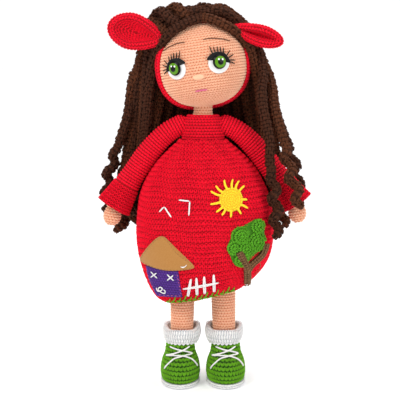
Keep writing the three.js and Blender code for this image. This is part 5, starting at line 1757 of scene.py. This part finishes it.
def makeTree():
    treeAt = lambda share: (tree["x"] + share[0] * tree["halfWidth"], tree["z"] + share[1] * tree["halfHeight"])
    middle = np.array([tree["x"], tree["z"]])
    tufts = np.array(crownLobes)
    outline = []
    for t in np.linspace(math.tau, 0, 110, endpoint=False):
        along = tufts[:, 0] * math.cos(t) + tufts[:, 1] * math.sin(t)
        room = tufts[:, 2] ** 2 - (tufts[:, :2] ** 2).sum(1) + along ** 2
        reach = np.where(room > 0, along + np.sqrt(np.maximum(room, 0)), 0).max()
        outline.append(middle + (reach - 0.6) * np.array([math.cos(t), math.sin(t)]))
    outline = evenly([*outline, outline[0]], 0.9)[:-1]
    under = patch("tree_crown_under", outline, onSkirt, 0.35, 1.3, 1.2)
    trunks = np.concatenate([smoothLine([treeAt(p) for p in line], 1) for line in trunkLines])
    parts = []
    rise = lambda tuft, at: 1 - ((at - middle - tuft[:2]) ** 2).sum() / tuft[2] ** 2
    for tuft in tufts:
        for ring in np.arange(0.8, tuft[2], tree["rings"]):
            count = max(2, round(math.tau * ring / 3.0))
            for t in circle(count) + ring:
                at = middle + tuft[:2] + ring * np.array([math.cos(t), math.sin(t)])
                own = rise(tuft, at)
                covered = max(rise(other, at) for other in tufts) > own + 0.15
                clear = np.linalg.norm(trunks - at, axis=1).min() > 3.3
                if not covered and clear:
                    lift = 0.7 + 3.0 * math.sqrt(max(0, own))
                    parts.append(stitchesAt([at], onSkirt, tree["leafStitch"], lift, math.pi / 2 - t))
    made = knit("tree_crown_knit", gathered(parts), "single", "leaf", under, 0.22, 0.12)
    ride(made, "body", "leaf_yarn", "tree_crown")
    parts, cords = [], []
    for index, line in enumerate(trunkLines):
        path = smoothLine([treeAt(p) for p in line], 2.4)
        along = np.gradient(path, axis=0)
        along /= np.linalg.norm(along, axis=1)[:, None]
        across = np.stack([along[:, 1], -along[:, 0]], axis=1)
        for share in (-0.32, 0, 0.32):
            width = tree["trunk"] * (1 - 0.12 * index)
            for (x, z), way in zip(path + across * share * width, along):
                lift = 2.6 + 0.9 * (1 - abs(share) * 2)
                parts.append(stitchesAt([(x, z)], onSkirt, tree["barkStitch"], lift, math.atan2(way[0], way[1])))
        cords.append(strandOn(path, onSkirt, tree["trunk"] * 0.5, 2.0, taper=0.7, flatten=0.35, sides=16))
    under = strandsMesh("tree_trunk_under", cords, 0.2)
    made = knit("tree_trunk_knit", gathered(parts), "single", "bark", under, 0.15, 0.1)
    ride(made, "body", "bark_yarn", "tree_trunk")
    loose = [treeAt(p) for p in ((0.6, -0.72), (0.72, -0.95), (0.64, -1.18), (0.42, -1.38))]
    ride(threads("tree_thread", [strandOn(loose, onSkirt, 0.28, 1.2, sides=6)], "bark"), "body", "bark_yarn")


# Short stitches along a line: pairs of flat places, each stitch with a gap after it
def runningStitch(line, length, gap):
    run = evenly(line, 0.2)
    step = round((length + gap) / 0.2)
    reach = round(length / 0.2)
    return [(run[start], run[min(len(run) - 1, start + reach)]) for start in range(0, len(run) - step // 2, step)]


def makeHouse():
    houseAt = lambda share: (house["x"] + share[0] * house["halfWidth"], house["eaves"] + share[1] * house["roof"])
    wall = evenly([houseAt(p) for p in [*wallShares, wallShares[0]]], 0.9)[:-1]
    made = stitchedPatch("house_wall_knit", wall, onSkirt, (2.6, 2.5, 1.3), "wall", 0.35, 0.9)
    ride(made, "body", "purple_yarn", "house_wall")
    roof = [np.array(houseAt(p)) for p in roofShares]
    line = closedLine(roof, 0.8)
    made = patch("house_roof_felt", line, onSkirt, 0.9, 2.3, 0.6, 1.6)
    ride(withLook(made, tanFelt), "body", "tan_felt", "house_roof")
    middle = line.mean(0)
    seam = middle + (line - middle) * 0.93
    stitches = [strandOn(pair, onSkirt, 0.24, 2.35, sides=6, step=0.4) for pair in runningStitch(seam, 1.8, 1.1)]
    ride(threads("house_roof_seam", stitches, "bark", 0.7), "body", "tan_felt")
    marks = [[(-21.3, 127.9), (-18.4, 127.1), (-16.4, 128.6), (-14.9, 130.1)], [(-20.2, 127.3), (-17.2, 128)]]
    seam = runningStitch([(-24.4, 119.6), (-20.8, 97.4), (-43.6, 95.6)], 2.2, 1.6)
    seam += runningStitch([(-54, 119), (-51.4, 109.5), (-45.6, 97.5)], 2.2, 1.6)
    pink = [strandOn(pair, onSkirt, 0.3, 2.1, sides=6, step=0.5) for pair in seam]
    ride(threads("house_wall_seam", pink, "lip", 0.75), "body", "purple_yarn")
    crosses = []
    for x, z in ((-46.7, 116.4), (-30.9, 115.8)):
        crosses.append(strandOn([(x - 3.2, z + 3.2), (x + 3.3, z - 3)], onSkirt, 0.62, 2.2))
        crosses.append(strandOn([(x - 3, z - 3.1), (x + 3.1, z + 3)], onSkirt, 0.62, 2.7))
    door = [(-44.4, 103.6), (-43.2, 99.9), (-40.4, 100.6), (-38.6, 103.2), (-40.6, 104.6), (-42.6, 101.8),
            (-38.9, 98.8), (-35.6, 98.4)]
    crosses.append(strandOn(door, onSkirt, 0.6, 2.4))
    crosses.append(strandOn([(-37.4, 102.9), (-35.9, 101), (-36.2, 98.6)], onSkirt, 0.6, 2.6))
    crosses += [strandOn(line, onSkirt, 0.42, 2.75) for line in marks]
    ride(threads("house_marks", crosses, "white"), "body", "white_yarn")


def makeFence():
    railAt = lambda share: np.array([fence["x"] + share * fence["halfWidth"],
                                     fence["z"] + share * fence["halfWidth"] * fence["slope"]])
    strands = []
    for share in fence["posts"]:
        lean = np.array([1.6 if share < -0.5 else -0.3, fence["post"] / 2])
        for offset in (-0.75, 0.75):
            top = railAt(share) + lean * 0.96 + (offset * 0.3, 0)
            foot = railAt(share) - lean + (offset * 0.8, 0)
            strands.append(strandOn([foot, railAt(share) + (offset, 0), top], onSkirt, 0.72, 0.95, taper=0.3))
    for offset in (-0.7, 0.7):
        strands.append(strandOn([railAt(-1), railAt(0) + (0, offset), railAt(1)], onSkirt, 0.68, 1.6, taper=0.3))
    ride(threads("fence_yarn", strands, "white"), "body", "white_yarn", "fence")


def makeBirds():
    scale = birds["scale"]
    for name, line in birds["lines"].items():
        places = [(birds["x"] + x * scale, birds["z"] + z * scale) for x, z in line]
        strands = [strandOn(pair, onSkirt, 0.72, 0.95, taper=0.35) for pair in zip(places, places[1:])]
        ride(threads(name + "_yarn", strands, "white"), "body", "white_yarn", name)


def makeGrass():
    strands = []
    for index, x in enumerate(np.arange(grass["left"], grass["right"], grass["spacing"])):
        foot = skirt["hem"] + skirt["slope"] * x + 0.4
        tall = grass["heights"][0 if index % 2 else 1]
        strands.append(strandOn([(x - 3.4, foot), (x - 0.4, foot + tall * 0.45), (x + 1.2, foot + tall)], onSkirt,
                                0.62, 1.0, taper=0.3))
        strands.append(strandOn([(x + 1.8, foot + 0.2), (x - 0.9, foot + 1.9), (x - 3.6, foot + 2.9)], onSkirt,
                                0.58, 1.3, taper=0.3))
        strands.append(strandOn([(x - 3.4, foot + 0.3), (x - 0.5, foot + 0.9), (x + 2.4, foot + 1.1)], onSkirt,
                                0.66, 0.9, taper=0.5))
    ride(threads("hem_grass", strands, "shoe"), "body", "green_yarn")


makeSun()
makeTree()
makeHouse()
makeFence()
makeBirds()
makeGrass()
print("pictures made")

for spare in leftovers:
    mesh = spare.data
    bpy.data.objects.remove(spare)
    if mesh.users == 0:
        bpy.data.meshes.remove(mesh)

json.dump({"cad": [list(cadLow), list(cadHigh)], "scene": [list(v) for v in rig.bounds()]}, open("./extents.json", "w"))
